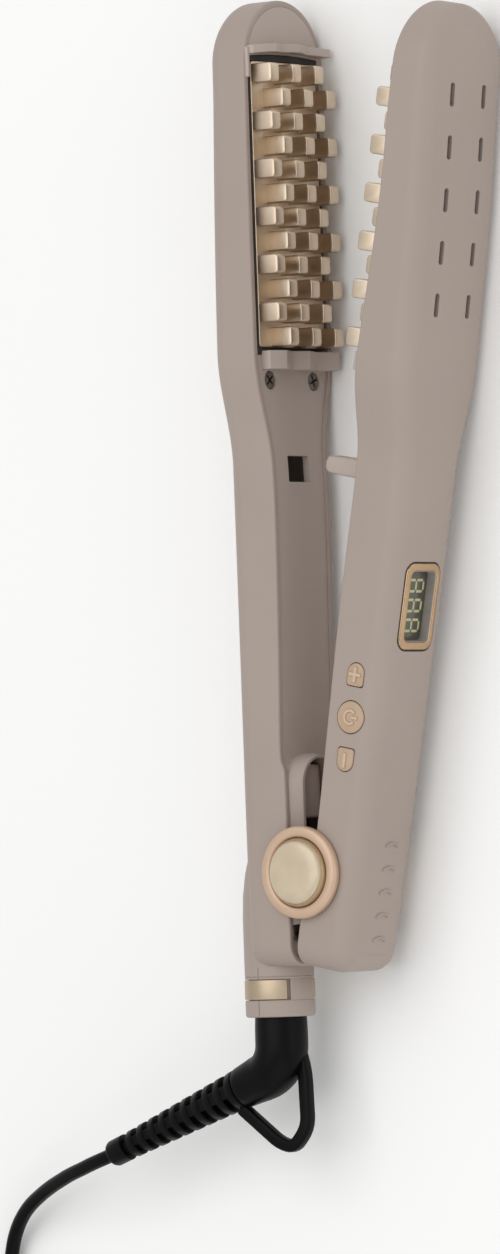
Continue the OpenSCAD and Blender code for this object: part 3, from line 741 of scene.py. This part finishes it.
# Window outline: straight at its lower end, an arc at its upper end.
def windowOutline(grow):
    low, high, half = lidValues["window"]
    half += grow
    points = [(low - grow, mid + half), (high, mid + half)]
    rise = lidValues["windowRise"] + grow
    radius = (half * half + rise * rise) / (2 * rise)
    span = math.asin(half / radius)
    for i in range(1, 20):
        a = span - 2 * span * i / 20
        points.append((high + rise - radius + radius * math.cos(a), mid + radius * math.sin(a)))
    return points + [(high, mid - half), (low - grow, mid - half)]


baseLid = lidSolid("cord_arm_lid", baseLidLevel, -1, "base", False)
lipRings = [[(x, y, z) for y, z in archOutline(half, rise, low)] for x, half, rise, low in
            ((-9.6, 12.4, 9.7, -16.2), (-6.5, 12.4, 9.7, -16.2), (-4.6, 10.7, 9.3, -15.9),
             (-3.5, 9.8, 9.05, -15.6), (-3.0, 9.3, 8.85, -15.2))]
carve(baseLid, [loft("arch_lip", lipRings, lidPlasticPaintedLighter, None, None)], "UNION", 32)
cutters = [prism("window", windowOutline(0), "x", -20, 0),
           prism("latch_hole", roundedBox((lidValues["latchAt"], mid), lidValues["latch"], 0.5),
                 "x", -20, 0),
           prism("arch", archOutline(8.2, 8.2), "x", -10.8, 0)]
cutters += earSpaces()


def crossCylinder(name, x0, x1, y, z, radius, opened=False, steps=32):
    outline = [(y + radius * math.cos(2 * math.pi * i / steps),
                z + radius * math.sin(2 * math.pi * i / steps)) for i in range(steps)]
    return prism(name, outline, "x", x0, x1, opened=opened)


cutters += [crossCylinder("screw_seat", -10.4, 0, lidValues["screwAt"],
                          mid + s * lidValues["screwSide"], 3.0) for s in (-1, 1)]
cutters.append(crossCylinder("tail_seat", -7.6, 0, lidValues["tailAt"],
                             mid + lidValues["tailSide"], 2.6))
carve(baseLid, cutters, sharp=32)
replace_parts(baseLid, "base_inner_cover")
bossOutline = [(-12.2 + 6.6 * math.cos(a), mid + 7.4 * math.sin(a))
               for a in (math.pi * (i / 20 - 0.5) for i in range(21))]
prism("arch_boss", bossOutline, "y", 17.0, 33.6, lidPlasticPaintedLighter, "base", "inner_cover_plastic",
      bevel=0.9, segments=4, sharp=50)
lathe("hinge_barrel", (0, 0), [(3.1, mid - 6.7), (8.4, mid - 6.7), (8.95, mid - 6.2),
      (8.95, mid + 6.2), (8.4, mid + 6.7), (3.1, mid + 6.7)], lidPlasticPaintedLighter, "base",
      "inner_cover_plastic", closed=False, steps=64)
print("stage: cord arm lid")

controlLid = lidSolid("opening_arm_lid", controlLidLevel, 1, "control", True)
cutters = [prism("window", windowOutline(0), "x", -5, 10, opened=True)] + hingeSpaces()
cutters += [crossCylinder("screw_seat", -4, 1.9, lidValues["screwAt"],
                          mid + s * lidValues["screwSide"], 3.0, True) for s in (-1, 1)]
carve(controlLid, cutters, sharp=32)
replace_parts(controlLid, "control_inner_cover")
for side, name in ((-1, "hinge_ear_low"), (1, "hinge_ear_high")):
    lathe(name, (0, 0), [(3.1, mid + side * 7.1), (9.5, mid + side * 7.1),
          (9.95, mid + side * 7.5), (9.95, mid + side * 12.2), (3.1, mid + side * 12.2)],
          lidPlasticPaintedLighter, "control", "inner_cover_plastic", closed=False, steps=64)
print("stage: opening arm lid")

# Corrugated guard at each end of a plate: folds across the arm from the +Z side.
guardValues = {"folds": (9.7, 3.7, -2.2, -8.9), "tipEnds": (18.3, -17.8),
               "neckEnds": (15.2, -17.2), "basePeak": -3.0, "baseValley": -5.6,
               "controlPeak": -2.9, "controlValley": -4.8, "tipDepth": 2.6, "neckDepth": 5.8,
               "tipFrom": 254.5, "tipRise": 0.9, "tipReach": 18.4, "neckFrom": 162.2,
               "controlTrim": 15.0}


# A trimmed guard stops short on its first fold and keeps that fold's slope.
def guardPiece(name, foot, peak, valley, ends, inner, outward, depth, body, opened, trim=None):
    spots = (ends[0],) + guardValues["folds"] + (ends[1],)
    corners = [((valley, peak)[k % 2], z) for k, z in enumerate(spots)]
    if trim is not None:
        (x0, z0), (x1, z1) = corners[:2]
        corners[0] = (x1 + (x0 - x1) * (trim - z1) / (z0 - z1), trim)
    profile = []
    for (x0, z0), (x1, z1) in zip(corners, corners[1:]):
        profile += [(x0 + (x1 - x0) * k / 3, z0 + (z1 - z0) * k / 3) for k in range(3)]
    profile.append(corners[-1])
    feet = [(foot, z) for _, z in reversed(profile)]
    count = 2 * len(profile)
    points = []
    for share in (0, 1):
        points += [(x, inner(z) + outward * depth * share, mid + z) for x, z in profile + feet]
    half = len(profile)
    faces = []
    for start in (0, count):
        faces += [(start + k, start + k + 1, start + count - k - 2, start + count - k - 1)
                  for k in range(half - 1)]
    faces += skinFaces(0, 2, count)
    return meshPiece(name, points, faces, lidPlasticPaintedLighter, body, "inner_cover_plastic", opened,
                     sharp=8, bevel=0.22, segments=2)


def topInner(z):
    v = guardValues
    return v["tipFrom"] + v["tipRise"] * (1 - (z / v["tipReach"]) ** 2)


def lowInner(z):
    return guardValues["neckFrom"]


for label, foot, peak, valley, body, opened in (
        ("cord_arm", -9.4, guardValues["basePeak"], guardValues["baseValley"], "base", False),
        ("opening_arm", 1.4, guardValues["controlPeak"], guardValues["controlValley"],
         "control", True)):
    guardPiece(label + "_tip_guard", foot, peak, valley, guardValues["tipEnds"], topInner, 1,
               guardValues["tipDepth"], body, opened,
               guardValues["controlTrim"] if body == "control" else None)
    guardPiece(label + "_neck_guard", foot, peak, valley, guardValues["neckEnds"], lowInner, -1,
               guardValues["neckDepth"], body, opened)
prism("cord_arm_guard_lip", [(-9.0, mid + 18.0), (-7.2, mid + 18.0), (-7.2, mid + 19.2),
                             (-9.0, mid + 19.2)], "y", 247.2, 256.6, lidPlasticPaintedLighter, "base",
      "inner_cover_plastic", bevel=0.3)
print("stage: guards")

# Plate with staggered teeth, each tooth with rounded end corners.
plateValues = {"start": 163.3, "end": 252.5, "half": 16.5, "thick": 1.6, "rows": 12, "pitch": 7.45,
               "first": 166.5, "across": 11.4, "shift": 2.85, "tooth": (7.8, 6.0, 4.2),
               "round": 1.25, "root": -0.6}


def toothedPlate(name, level, side, stagger, body, opened):
    v = plateValues
    length, along, wide = v["tooth"]
    r, root = v["round"], v["root"]
    points, faces = [], []
    for row in range(v["rows"]):
        for spot in (-1, 0, 1):
            y = v["first"] + row * v["pitch"]
            z = mid + spot * v["across"] + stagger * (-1 if row % 2 == 0 else 1) * v["shift"]
            outline = []
            for k, (sx, sy) in enumerate(((1, 1), (1, -1))):
                for i in range(5):
                    a = math.radians(90 - 90 * i / 4) if k == 0 else math.radians(-90 * i / 4)
                    outline.append((length - r + r * math.cos(a), sy * (along / 2 - r) +
                                    r * math.sin(a)))
            outline += [(root, -along / 2), (root, along / 2)]
            faces += prismFaces(len(points), len(outline))
            for dz in (-wide / 2, wide / 2):
                points += [(level + side * x, y + dy, z + dz) for x, dy in outline]
    meshPiece(name + "_teeth", points, faces, champagne, body, "plate_metal", opened, bevel=0.36,
              segments=3, sharp=50)
    outline = roundedBox(((v["start"] + v["end"]) / 2, mid), (v["end"] - v["start"],
                         2 * v["half"]), 1.2)
    return prism(name + "_plate", outline, "x", min(level, level - side * v["thick"]),
                 max(level, level - side * v["thick"]), champagne, body, "plate_metal", opened,
                 bevel=0.3)


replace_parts(toothedPlate("cord_arm", -8.2, 1, 1, "base", False), "base_plate")
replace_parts(toothedPlate("opening_arm", -0.3, -1, -1, "control", True), "control_plate")

# Black seat under and round each plate, rounded at the tip.
seatValues = {"gap": -0.12, "top": 0.4, "bottom": 3.0, "roomAt": 207.9, "room": (89.6, 33.3),
              "corner": 1.2, "roomDepth": 1.65}
for name, level, side, body, opened, node in (
        ("cord_arm_seat", -8.2, 1, "base", False, "base_plate_seat"),
        ("opening_arm_seat", 0.0, -1, "control", True, "control_plate_seat")):
    v = seatValues
    sides = (level - side * v["top"], level - side * v["bottom"])
    seat = prism(name, windowOutline(v["gap"]), "x", min(sides), max(sides), blackSeat, body,
                 "black_insulator", opened)
    sides = (level + side, level - side * v["roomDepth"])
    carve(seat, [prism("room", roundedBox((v["roomAt"], mid), v["room"], v["corner"]), "x",
                       min(sides), max(sides), opened=opened)])
    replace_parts(seat, node)
print("stage: plates")


# Screw with a crossed recess, its head facing along X. The cross is a share of the radius.
screwValues = {"dome": 0.6, "run": 0.68, "wide": 0.13, "depth": 0.9}


def crossScrew(name, x, side, y, z, radius, body, opened, spin):
    v = screwValues
    profile = [(radius, -1.5), (radius, -0.35), (radius - 0.2, -0.12), (radius * v["dome"], 0.0)]
    rings = [[(x + side * h, y + r * math.cos(2 * math.pi * i / 40),
               z + r * math.sin(2 * math.pi * i / 40)) for i in range(40)] for r, h in profile]
    head = loft(name, rings, darkSteel, body, "dark_screw_steel", opened)
    arms = []
    for quarter in (0, 90):
        a = math.radians(spin + quarter)
        run, wide = radius * v["run"], radius * v["wide"]
        corners = [(run, wide), (-run, wide), (-run, -wide), (run, -wide)]
        outline = [(y + u * math.cos(a) - w * math.sin(a), z + u * math.sin(a) + w * math.cos(a))
                   for u, w in corners]
        ends = (x - side * v["depth"], x + side)
        arms.append(prism("recess", outline, "x", min(ends), max(ends), opened=opened))
    return carve(head, arms)


for k, s in enumerate((-1, 1)):
    y, z = lidValues["screwAt"], mid + s * lidValues["screwSide"]
    screw = crossScrew(f"cord_arm_screw_{k + 1}", -9.1, 1, y, z, 2.8, "base", False, 20 + 25 * k)
    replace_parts(screw, "base_cover_screws")
    screw = crossScrew(f"opening_arm_screw_{k + 1}", 1.2, -1, y, z, 2.8, "control", True,
                       35 + 15 * k)
    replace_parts(screw, "control_cover_screws")
tailScrew = crossScrew("tail_screw_head", -6.0, 1, lidValues["tailAt"],
                       mid + lidValues["tailSide"], 2.4, "base", False, 30)
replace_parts(tailScrew, "tail_screw")
print("stage: screws")

# Latch hook on the opening arm, rounded at its free end.
hookValues = {"root": 4.0, "low": 121.9, "high": 128.6, "end": -17.9, "endHigh": 127.9,
              "upper": 125.7, "lower": 124.6, "round": 2.2, "half": 3}
v, quarter = hookValues, [math.pi / 2 * i / 6 for i in range(7)]
hookOutline = [(v["root"], v["low"]), (v["root"], v["high"]), (v["end"], v["endHigh"])]
hookOutline += [(v["end"] - v["round"] * math.sin(a), v["upper"] + v["round"] * math.cos(a))
                for a in quarter[1:]]
hookOutline += [(v["end"] - v["round"] * math.cos(a), v["lower"] - v["round"] * math.sin(a))
                for a in quarter]
hook = prism("latch_hook_moulding", hookOutline, "z", mid - v["half"], mid + v["half"],
             lidPlasticPaintedLighter, "control", "inner_cover_plastic", True, bevel=0.8)
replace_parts(hook, "latch_hook")

# Hinge trim on both sides: lacquered ring, fine gap, domed cap. Each is a profile of radius
# and height above the mid plane.
hingeValues = {"ring": [(3.1, 14.8), (14.2, 14.8), (14.4, 15.1), (14.4, 16.5), (14.28, 17.0),
                        (13.95, 17.38), (13.45, 17.55), (12.6, 17.62), (11.75, 17.6),
                        (11.3, 17.48), (11.02, 17.2), (10.9, 16.6), (10.85, 15.9), (3.1, 15.9)],
               "flank": [(9.78, 15.95), (10.74, 15.95), (10.72, 17.0), (10.6, 17.7),
                         (10.3, 18.3), (9.95, 18.66), (9.78, 18.7)],
               "cap": [(9.75, 16.5), (9.75, 18.6), (9.66, 18.95), (9.3, 19.3), (8.6, 19.6),
                       (7.6, 19.78), (6.2, 19.9), (4.5, 19.97), (2.0, 19.99), (0.01, 20.0)]}


def trimProfile(part, side):
    return [(r, mid + side * h) for r, h in hingeValues[part]]


for side, label in ((1, "high"), (-1, "low")):
    ring = lathe("hinge_ring_" + label, (0, 0), trimProfile("ring", side), roseLacquer, "base",
                 "rose_trim", closed=False, sharp=60)
    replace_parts(ring, "hinge_rings")
    # The cap's flank is coloured bronze: a painted dark reflection round the cream.
    lathe("hinge_cap_flank_" + label, (0, 0), trimProfile("flank", side), flankReflectionLacquer, "base",
          "cream_disc", closed=False, sharp=60)
    disc = lathe("hinge_cap_" + label, (0, 0), trimProfile("cap", side), creamPearl, "base",
                 "cream_disc", sharp=60)
    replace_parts(disc, "hinge_discs")
print("stage: hinge trim")

# Display frame, a dark ring round it as painted shade, recess walls, dark cell and three generic
# digits.
bezel = prism("display_frame", displayOutline("frame", 3.7, displayValues["off"], 8), "x",
              19.95, 21.35, goldPolish, None, None, True)
carve(bezel, [prism("opening", displayOutline("frameOpening", 2.2, displayValues["frameOff"], 8),
                    "x", 19, 22.5, opened=True)])
applyModifiers(bezel)
applyBevel(bezel, 0.66, 4)
shadeByAngle(bezel, 50)
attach(bezel, "control")
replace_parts(bezel, "display_bezel")
# Dark ring round the frame: painted shade along its edge.
hollowPrism("display_gapShade", displayOutline("gapShade", 4.1, displayValues["off"], 8),
            displayOutline("gapShadeOpening", 2.2, 0.0, 8), "x", (19.8, 20.75), (19, 22), blackSeat)
hollowPrism("display_recess", displayOutline("walls", 2.1), displayOutline("wallsOpening", 1.6),
            "x", (17.3, 20.9), (16, 22), recessPaint)
cell = prism("display_glass", displayOutline("glass", 2.0), "x", 16.9, 17.9, darkCell, "control",
             "display_lens", True, bevel=0.15)
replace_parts(cell, "display_lens")


# Seven-segment digit, upright when the display is read with the arm's +Z side up.
def segmentDigit(centre, width, height, thick):
    cy, cz = centre
    half, third = width / 2, height / 2
    bars = [((0, third), (half * 2, thick)), ((0, 0), (half * 2, thick)),
            ((0, -third), (half * 2, thick)),
            ((-half, third / 2), (thick, third)), ((half, third / 2), (thick, third)),
            ((-half, -third / 2), (thick, third)), ((half, -third / 2), (thick, third))]
    shapes = []
    for (u, w), (a, b) in bars:
        long, short = max(a, b) / 2 - 0.26, min(a, b) / 2
        if a >= b:
            shape = [(-long, 0), (-long + short, short), (long - short, short), (long, 0),
                     (long - short, -short), (-long + short, -short)]
        else:
            shape = [(0, -long), (short, -long + short), (short, long - short), (0, long),
                     (-short, long - short), (-short, -long + short)]
        shapes.append([(cy + u + p, cz + w + q) for p, q in shape])
    return shapes


points, faces = [], []
for k in range(displayValues["digits"]):
    centre = (displayValues["digitFirst"] - displayValues["digitPitch"] * k,
              displayValues["digitAcross"])
    for shape in segmentDigit(centre, *displayValues["digitShape"]):
        faces += prismFaces(len(points), len(shape))
        for level in (17.88, 17.98):
            points += [(level, y, z) for y, z in shape]
meshPiece("display_digits", points, faces, segmentPaintedGlow, "control", "display_cell", True)
print("stage: display")


# Bar of a symbol with its corners rounded.
def barShape(centre, size, radius=0.2):
    return roundedBox(centre, size, radius, 3)


# Buttons, each a body of its own.
for label, outline, bevel in (("power", powerOutline(0), 0.45), ("plus", smallOutline(1, 0), 0.4),
                              ("minus", smallOutline(-1, 0), 0.4)):
    key = prism(label + "_key", outline, "z", 31.0, 34.95, buttonPlastic, label,
                "button_plastic", True, bevel=bevel)
    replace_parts(key, label + "_button")

# Raised symbols, each on a thin darker outline that is a little larger: the outline is a painted
# shadow.
symbolLow, symbolHigh, shadowOutlineHigh = 34.8, 35.3, 34.962
arcs = []
for grow in (0, 0.2):
    arc = []
    for radius, order in ((2.5 + grow, range(25)), (1.65 - grow, range(24, -1, -1))):
        for i in order:
            a = math.radians(40 - grow * 24 + (280 + grow * 48) * i / 24)
            arc.append((buttonX + radius * math.cos(a), powerY + radius * math.sin(a)))
    arcs.append(arc)
marks = [("power", arcs[1]), ("power", barShape((buttonX + 1.75, powerY), (2.7, 1.2))),
         ("plus", barShape((buttonX, plusY - 0.5), (4.8, 1.4))),
         ("plus", barShape((buttonX, plusY - 0.5), (1.4, 5.2))),
         ("minus", barShape((buttonX, minusY + 0.3), (1.4, 5.0)))]
for k, (body, outline) in enumerate(marks):
    prism(f"symbol_shadow_outline_{k + 1}", outline, "z", symbolLow, shadowOutlineHigh + 0.004 * (k % 2),
          symbolShadowPaint, body, "button_plastic", True)
# The symbols' lighter colour is a painted highlight.
prism("power_mark_ring", arcs[0], "z", symbolLow, symbolHigh, symbolHighlightPlastic, "power",
      "button_plastic", True, bevel=0.16)
prism("power_mark_bar", barShape((buttonX + 1.75, powerY), (2.3, 0.85)), "z", symbolLow,
      symbolHigh, symbolHighlightPlastic, "power", "button_plastic", True, bevel=0.16)
plusMark = prism("plus_mark", barShape((buttonX, plusY - 0.5), (4.4, 1.0)), "z", symbolLow,
                 symbolHigh, symbolHighlightPlastic, None, None, True)
carve(plusMark, [prism("stroke", barShape((buttonX, plusY - 0.5), (1.0, 4.8)), "z", symbolLow,
                       symbolHigh, symbolHighlightPlastic, opened=True)], "UNION")
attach(plusMark, "plus")
prism("minus_mark", barShape((buttonX, minusY + 0.3), (1.0, 4.6)), "z", symbolLow, symbolHigh,
      symbolHighlightPlastic, "minus", "button_plastic", True, bevel=0.16)
print("stage: buttons")

# Neck collar with seams, the plug-in wedge and the gold lock band round it.
neckValues = {"x": -21.95, "wedge": (56, 106), "gap": 6.6, "stop": (-39.5, -32.85, 9.4, 10.85),
              "band": (-39.2, -33.1, 9.78, 10.98), "seamHalf": 0.11, "seamAt": 10.9,
              "seamDepth": 0.3,
              "collar": [(10.6, -29.0), (10.85, -29.1), (10.85, -31.9), (10.65, -32.02),
                         (10.65, -32.18), (10.85, -32.3), (10.85, -32.7), (10.7, -32.9),
                         (9.6, -32.9), (9.6, -39.45), (10.7, -39.45), (10.9, -39.7),
                         (10.9, -43.9), (10.65, -44.55), (10.1, -44.75), (8.6, -44.75),
                         (8.4, -44.4), (8.4, -43.0)]}


# Arc prism round the neck between two angles, measured from +Z toward +X.
def neckArc(name, first, last, low, high, inner, outer, material, body, slot, steps=48, **shape):
    points, faces = [], []
    for i in range(steps + 1):
        a = math.radians(first + (last - first) * i / steps)
        for r, y in ((inner, low), (outer, low), (outer, high), (inner, high)):
            points.append((neckValues["x"] + r * math.sin(a), y, mid + r * math.cos(a)))
    for i in range(steps):
        for k in range(4):
            faces.append((4 * i + k, 4 * i + (k + 1) % 4, 4 * i + 4 + (k + 1) % 4, 4 * i + 4 + k))
    faces += [(0, 1, 2, 3), tuple(4 * steps + k for k in range(4))]
    return meshPiece(name, points, faces, material, body, slot, False, **shape)


collarRings = [[(neckValues["x"] + r * math.cos(2 * math.pi * i / 96), y,
                 mid + r * math.sin(2 * math.pi * i / 96)) for i in range(96)]
               for r, y in neckValues["collar"]]
collar = loft("neck_collar_moulding", collarRings, coverPaint, "base", "cover_plastic", sharp=40)
left, right = neckValues["x"] - neckValues["seamHalf"], neckValues["x"] + neckValues["seamHalf"]
seams = [prism("seam", [(left, -46), (right, -46), (right, -28), (left, -28)], "z",
               mid + s * neckValues["seamAt"] - neckValues["seamDepth"],
               mid + s * neckValues["seamAt"] + neckValues["seamDepth"]) for s in (-1, 1)]
carve(collar, seams)
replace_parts(collar, "neck_collar")
first, last = neckValues["wedge"]
neckArc("neck_stop", first, last, *neckValues["stop"], coverPaint, "base", "cover_plastic", 24,
        bevel=0.12)
band = neckArc("lock_band_strip", last + 0.4, first - neckValues["gap"] + 360,
               *neckValues["band"], goldBand, "lock", "gold_trim", 80, bevel=0.18)
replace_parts(band, "lock_band")
print("stage: neck")

# Strain relief: elbow, ribs with alternating slots, ferrule and hanging loop.
reliefValues = {"bendStart": -53.1, "bendRadius": 11.0, "angle": 69.0, "bendSteps": 14,
                "straight": [(-42.0, 8.0), (-44.6, 8.1), (-48, 8.25), (-51, 8.3), (-53.1, 8.3)],
                "taper": 0.8,
                "outlet": [(2, 7.35), (4, 7.1), (6.5, 6.85), (8.6, 6.65), (9.0, 6.5), (9.1, 5.0)],
                "core": [(8, 4.5), (35, 3.6), (60, 2.9)], "ribs": 10, "ribPitch": 4.97,
                "ribStart": 9.8, "ribLength": 2.6, "ribRadius": 6.35, "ribTaper": 0.215,
                "ferrule": [(59.6, 2.8), (59.7, 3.9), (60.0, 4.3), (65.4, 4.25), (66.3, 3.8),
                            (66.8, 2.9), (66.9, 2.4)]}


# Point and direction in the bend, in degrees from its start.
def bendAt(degrees):
    v = reliefValues
    a = math.radians(degrees)
    centre = Vector((neckValues["x"] - v["bendRadius"], v["bendStart"], mid))
    point = centre + Vector((math.cos(a), -math.sin(a), 0)) * v["bendRadius"]
    return point, Vector((-math.sin(a), -math.cos(a), 0))


# Point and direction at a distance beyond the end of the bend.
def outlet(distance):
    end, way = bendAt(reliefValues["angle"])
    return end + way * distance, way


def ringAt(point, way, radius, steps=48, squash=1.0):
    sideways = Vector((way.y, -way.x, 0))
    return [tuple(point + sideways * radius * math.cos(2 * math.pi * i / steps) +
                  Vector((0, 0, 1)) * radius * squash * math.sin(2 * math.pi * i / steps))
            for i in range(steps)]


# Rings beyond the bend, from pairs of distance and radius.
def outletRings(pairs):
    return [ringAt(*outlet(distance), radius) for distance, radius in pairs]


rings = [ringAt(Vector((neckValues["x"], y, mid)), Vector((0, -1, 0)), r)
         for y, r in reliefValues["straight"]]
bendSteps, bendRing = reliefValues["bendSteps"], reliefValues["straight"][-1][1]
for i in range(1, bendSteps + 1):
    point, way = bendAt(reliefValues["angle"] * i / bendSteps)
    rings.append(ringAt(point, way, bendRing - reliefValues["taper"] * (i / bendSteps) ** 2))
rings += outletRings(reliefValues["outlet"])
elbow = loft("cord_elbow", rings, blackRubber, "swivel", "black_rubber", sharp=45)
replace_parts(elbow, "strain_relief")

loft("relief_core", outletRings(reliefValues["core"]), blackRubber, "swivel", "black_rubber")
for k in range(reliefValues["ribs"]):
    start = reliefValues["ribStart"] + k * reliefValues["ribPitch"]
    r = reliefValues["ribRadius"] - reliefValues["ribTaper"] * k
    wide = reliefValues["ribLength"]
    profile = [(0, r - 2.2), (0, r - 0.3), (0.3, r), (wide - 0.3, r - 0.02), (wide, r - 0.3),
               (wide, r - 2.2)]
    loft(f"relief_rib_{k + 1}", outletRings([(start + step, radius) for step, radius in profile]),
         blackRubber, "swivel", "black_rubber", sharp=45)
    point, way = outlet(start + (wide + reliefValues["ribPitch"]) / 2)
    if k < reliefValues["ribs"] - 1:
        sideways = Vector((way.y, -way.x, 0))
        half, reach = r * 0.33, r - 0.6
        bridge = [tuple(point + way * low + sideways * u * half + Vector((0, 0, w * reach)))
                  for low in (-1.35, 1.35) for u, w in ((-1, -1), (1, -1), (1, 1), (-1, 1))]
        meshPiece(f"relief_bridge_{k + 1}", bridge, [(0, 1, 2, 3), (4, 5, 6, 7), (0, 1, 5, 4),
                  (1, 2, 6, 5), (2, 3, 7, 6), (3, 0, 4, 7)], blackRubber, "swivel",
                  "black_rubber", bevel=0.3)
loft("relief_ferrule", outletRings(reliefValues["ferrule"]), blackRubber, "swivel",
     "black_rubber", sharp=50)

# Hanging loop: a flat-sided bar round a soft triangle.
loopValues = {"path": [(-18.0, -52.5, -2.6), (-14.7, -62, -2.0), (-12.9, -79.4, -0.3),
                       (-18.2, -85.6, 0), (-23.8, -84.0, 0), (-36.4, -74.6, 0),
                       (-38.0, -73.4, 0)], "reach": 4.0, "bar": (4.1, 3.8), "corner": 1.0}
loopPath = [Vector((x, y, mid + z)) for x, y, z in loopValues["path"]]
smoothPath = [loopPath[0]]
for k in range(1, len(loopPath) - 1):
    a, b, c = loopPath[k - 1:k + 2]
    reach = min(loopValues["reach"], (a - b).length * 0.47, (c - b).length * 0.47)
    start, end = b + (a - b).normalized() * reach, b + (c - b).normalized() * reach
    smoothPath += [start.lerp(b, t).lerp(b.lerp(end, t), t) for t in
                   (0, 0.2, 0.4, 0.6, 0.8, 1)]
smoothPath.append(loopPath[-1])
rings = []
for k, point in enumerate(smoothPath):
    a, b = smoothPath[max(k - 1, 0)], smoothPath[min(k + 1, len(smoothPath) - 1)]
    way = (b - a).normalized()
    sideways = Vector((way.y, -way.x, 0))
    rings.append([tuple(point + sideways * u + Vector((0, 0, w)))
                  for u, w in roundedBox((0, 0), loopValues["bar"], loopValues["corner"], 4)])
loop = loft("hanging_loop_bar", rings, blackRubber, "swivel", "black_rubber", sharp=50)
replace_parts(loop, "hanging_loop")
print("stage: strain relief")

# CAD nodes that stay, each with the material it is made of.
kept = {"base_heater": ceramicWhite, "control_heater": ceramicWhite,
        "base_thermal_fuse": ceramicWhite, "base_heater_spring": springSteel,
        "control_heater_spring": springSteel, "hinge_spring": springSteel,
        "hinge_pin": springSteel, "swivel_retainer": blackSeat, "display_module": darkCell,
        "display_board": circuitBoard, "button_board": circuitBoard, "coil_tie": blackRubber}
for node, material in kept.items():
    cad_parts[node].data.materials.clear()
    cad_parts[node].data.materials.append(material)

# Plain pale floor and soft studio light from the upper left.
floorMesh = bpy.data.meshes.new("studio_floor")
floorMesh.from_pydata([(-6, -6, 0), (6, -6, 0), (6, 6, 0), (-6, 6, 0)], [], [(0, 1, 2, 3)])
floor = bpy.data.objects.new("studio_floor", floorMesh)
scene.collection.objects.link(floor)
floorPaint, tree, shader = newMaterial("matt_white_studio_floor", IOR=1.4,
                                       Specular_IOR_Level=0.1)
addSurface(tree, shader, ("#FAFAF9", "#FCFCFB"), 300, (0.85, 0.9), 2, 0.01)
floorMesh.materials.append(floorPaint)
floor.location.z = -0.0002

world = bpy.data.worlds.new("studio_world")
scene.world = world
world.use_nodes = True
world.node_tree.nodes["Background"].inputs["Color"].default_value = (1, 1, 1, 1)
world.node_tree.nodes["Background"].inputs["Strength"].default_value = 0.61
lightValues = [("key", (-0.75, 0.35, 0.9), 1.9, 18, 2.1), ("fill", (1.0, 0.15, 0.5), 1.8, 11, 1.8),
               ("low", (0.1, -0.85, 0.8), 1.9, 4, 1.6)]
centre = target * mm
for name, (u, w, c), distance, power, size in lightValues:
    data = bpy.data.lights.new(name, "AREA")
    data.energy, data.size = power, size
    lamp = bpy.data.objects.new(name, data)
    scene.collection.objects.link(lamp)
    way = (viewRight * u + viewUp * w + viewToward * c).normalized()
    lamp.location = centre + way * distance
    lamp.rotation_mode = "QUATERNION"
    lamp.rotation_quaternion = (-way).to_track_quat("-Z", "Y")
scene.view_settings.view_transform = "Standard"
print("stage: light")

bpy.context.view_layer.update()
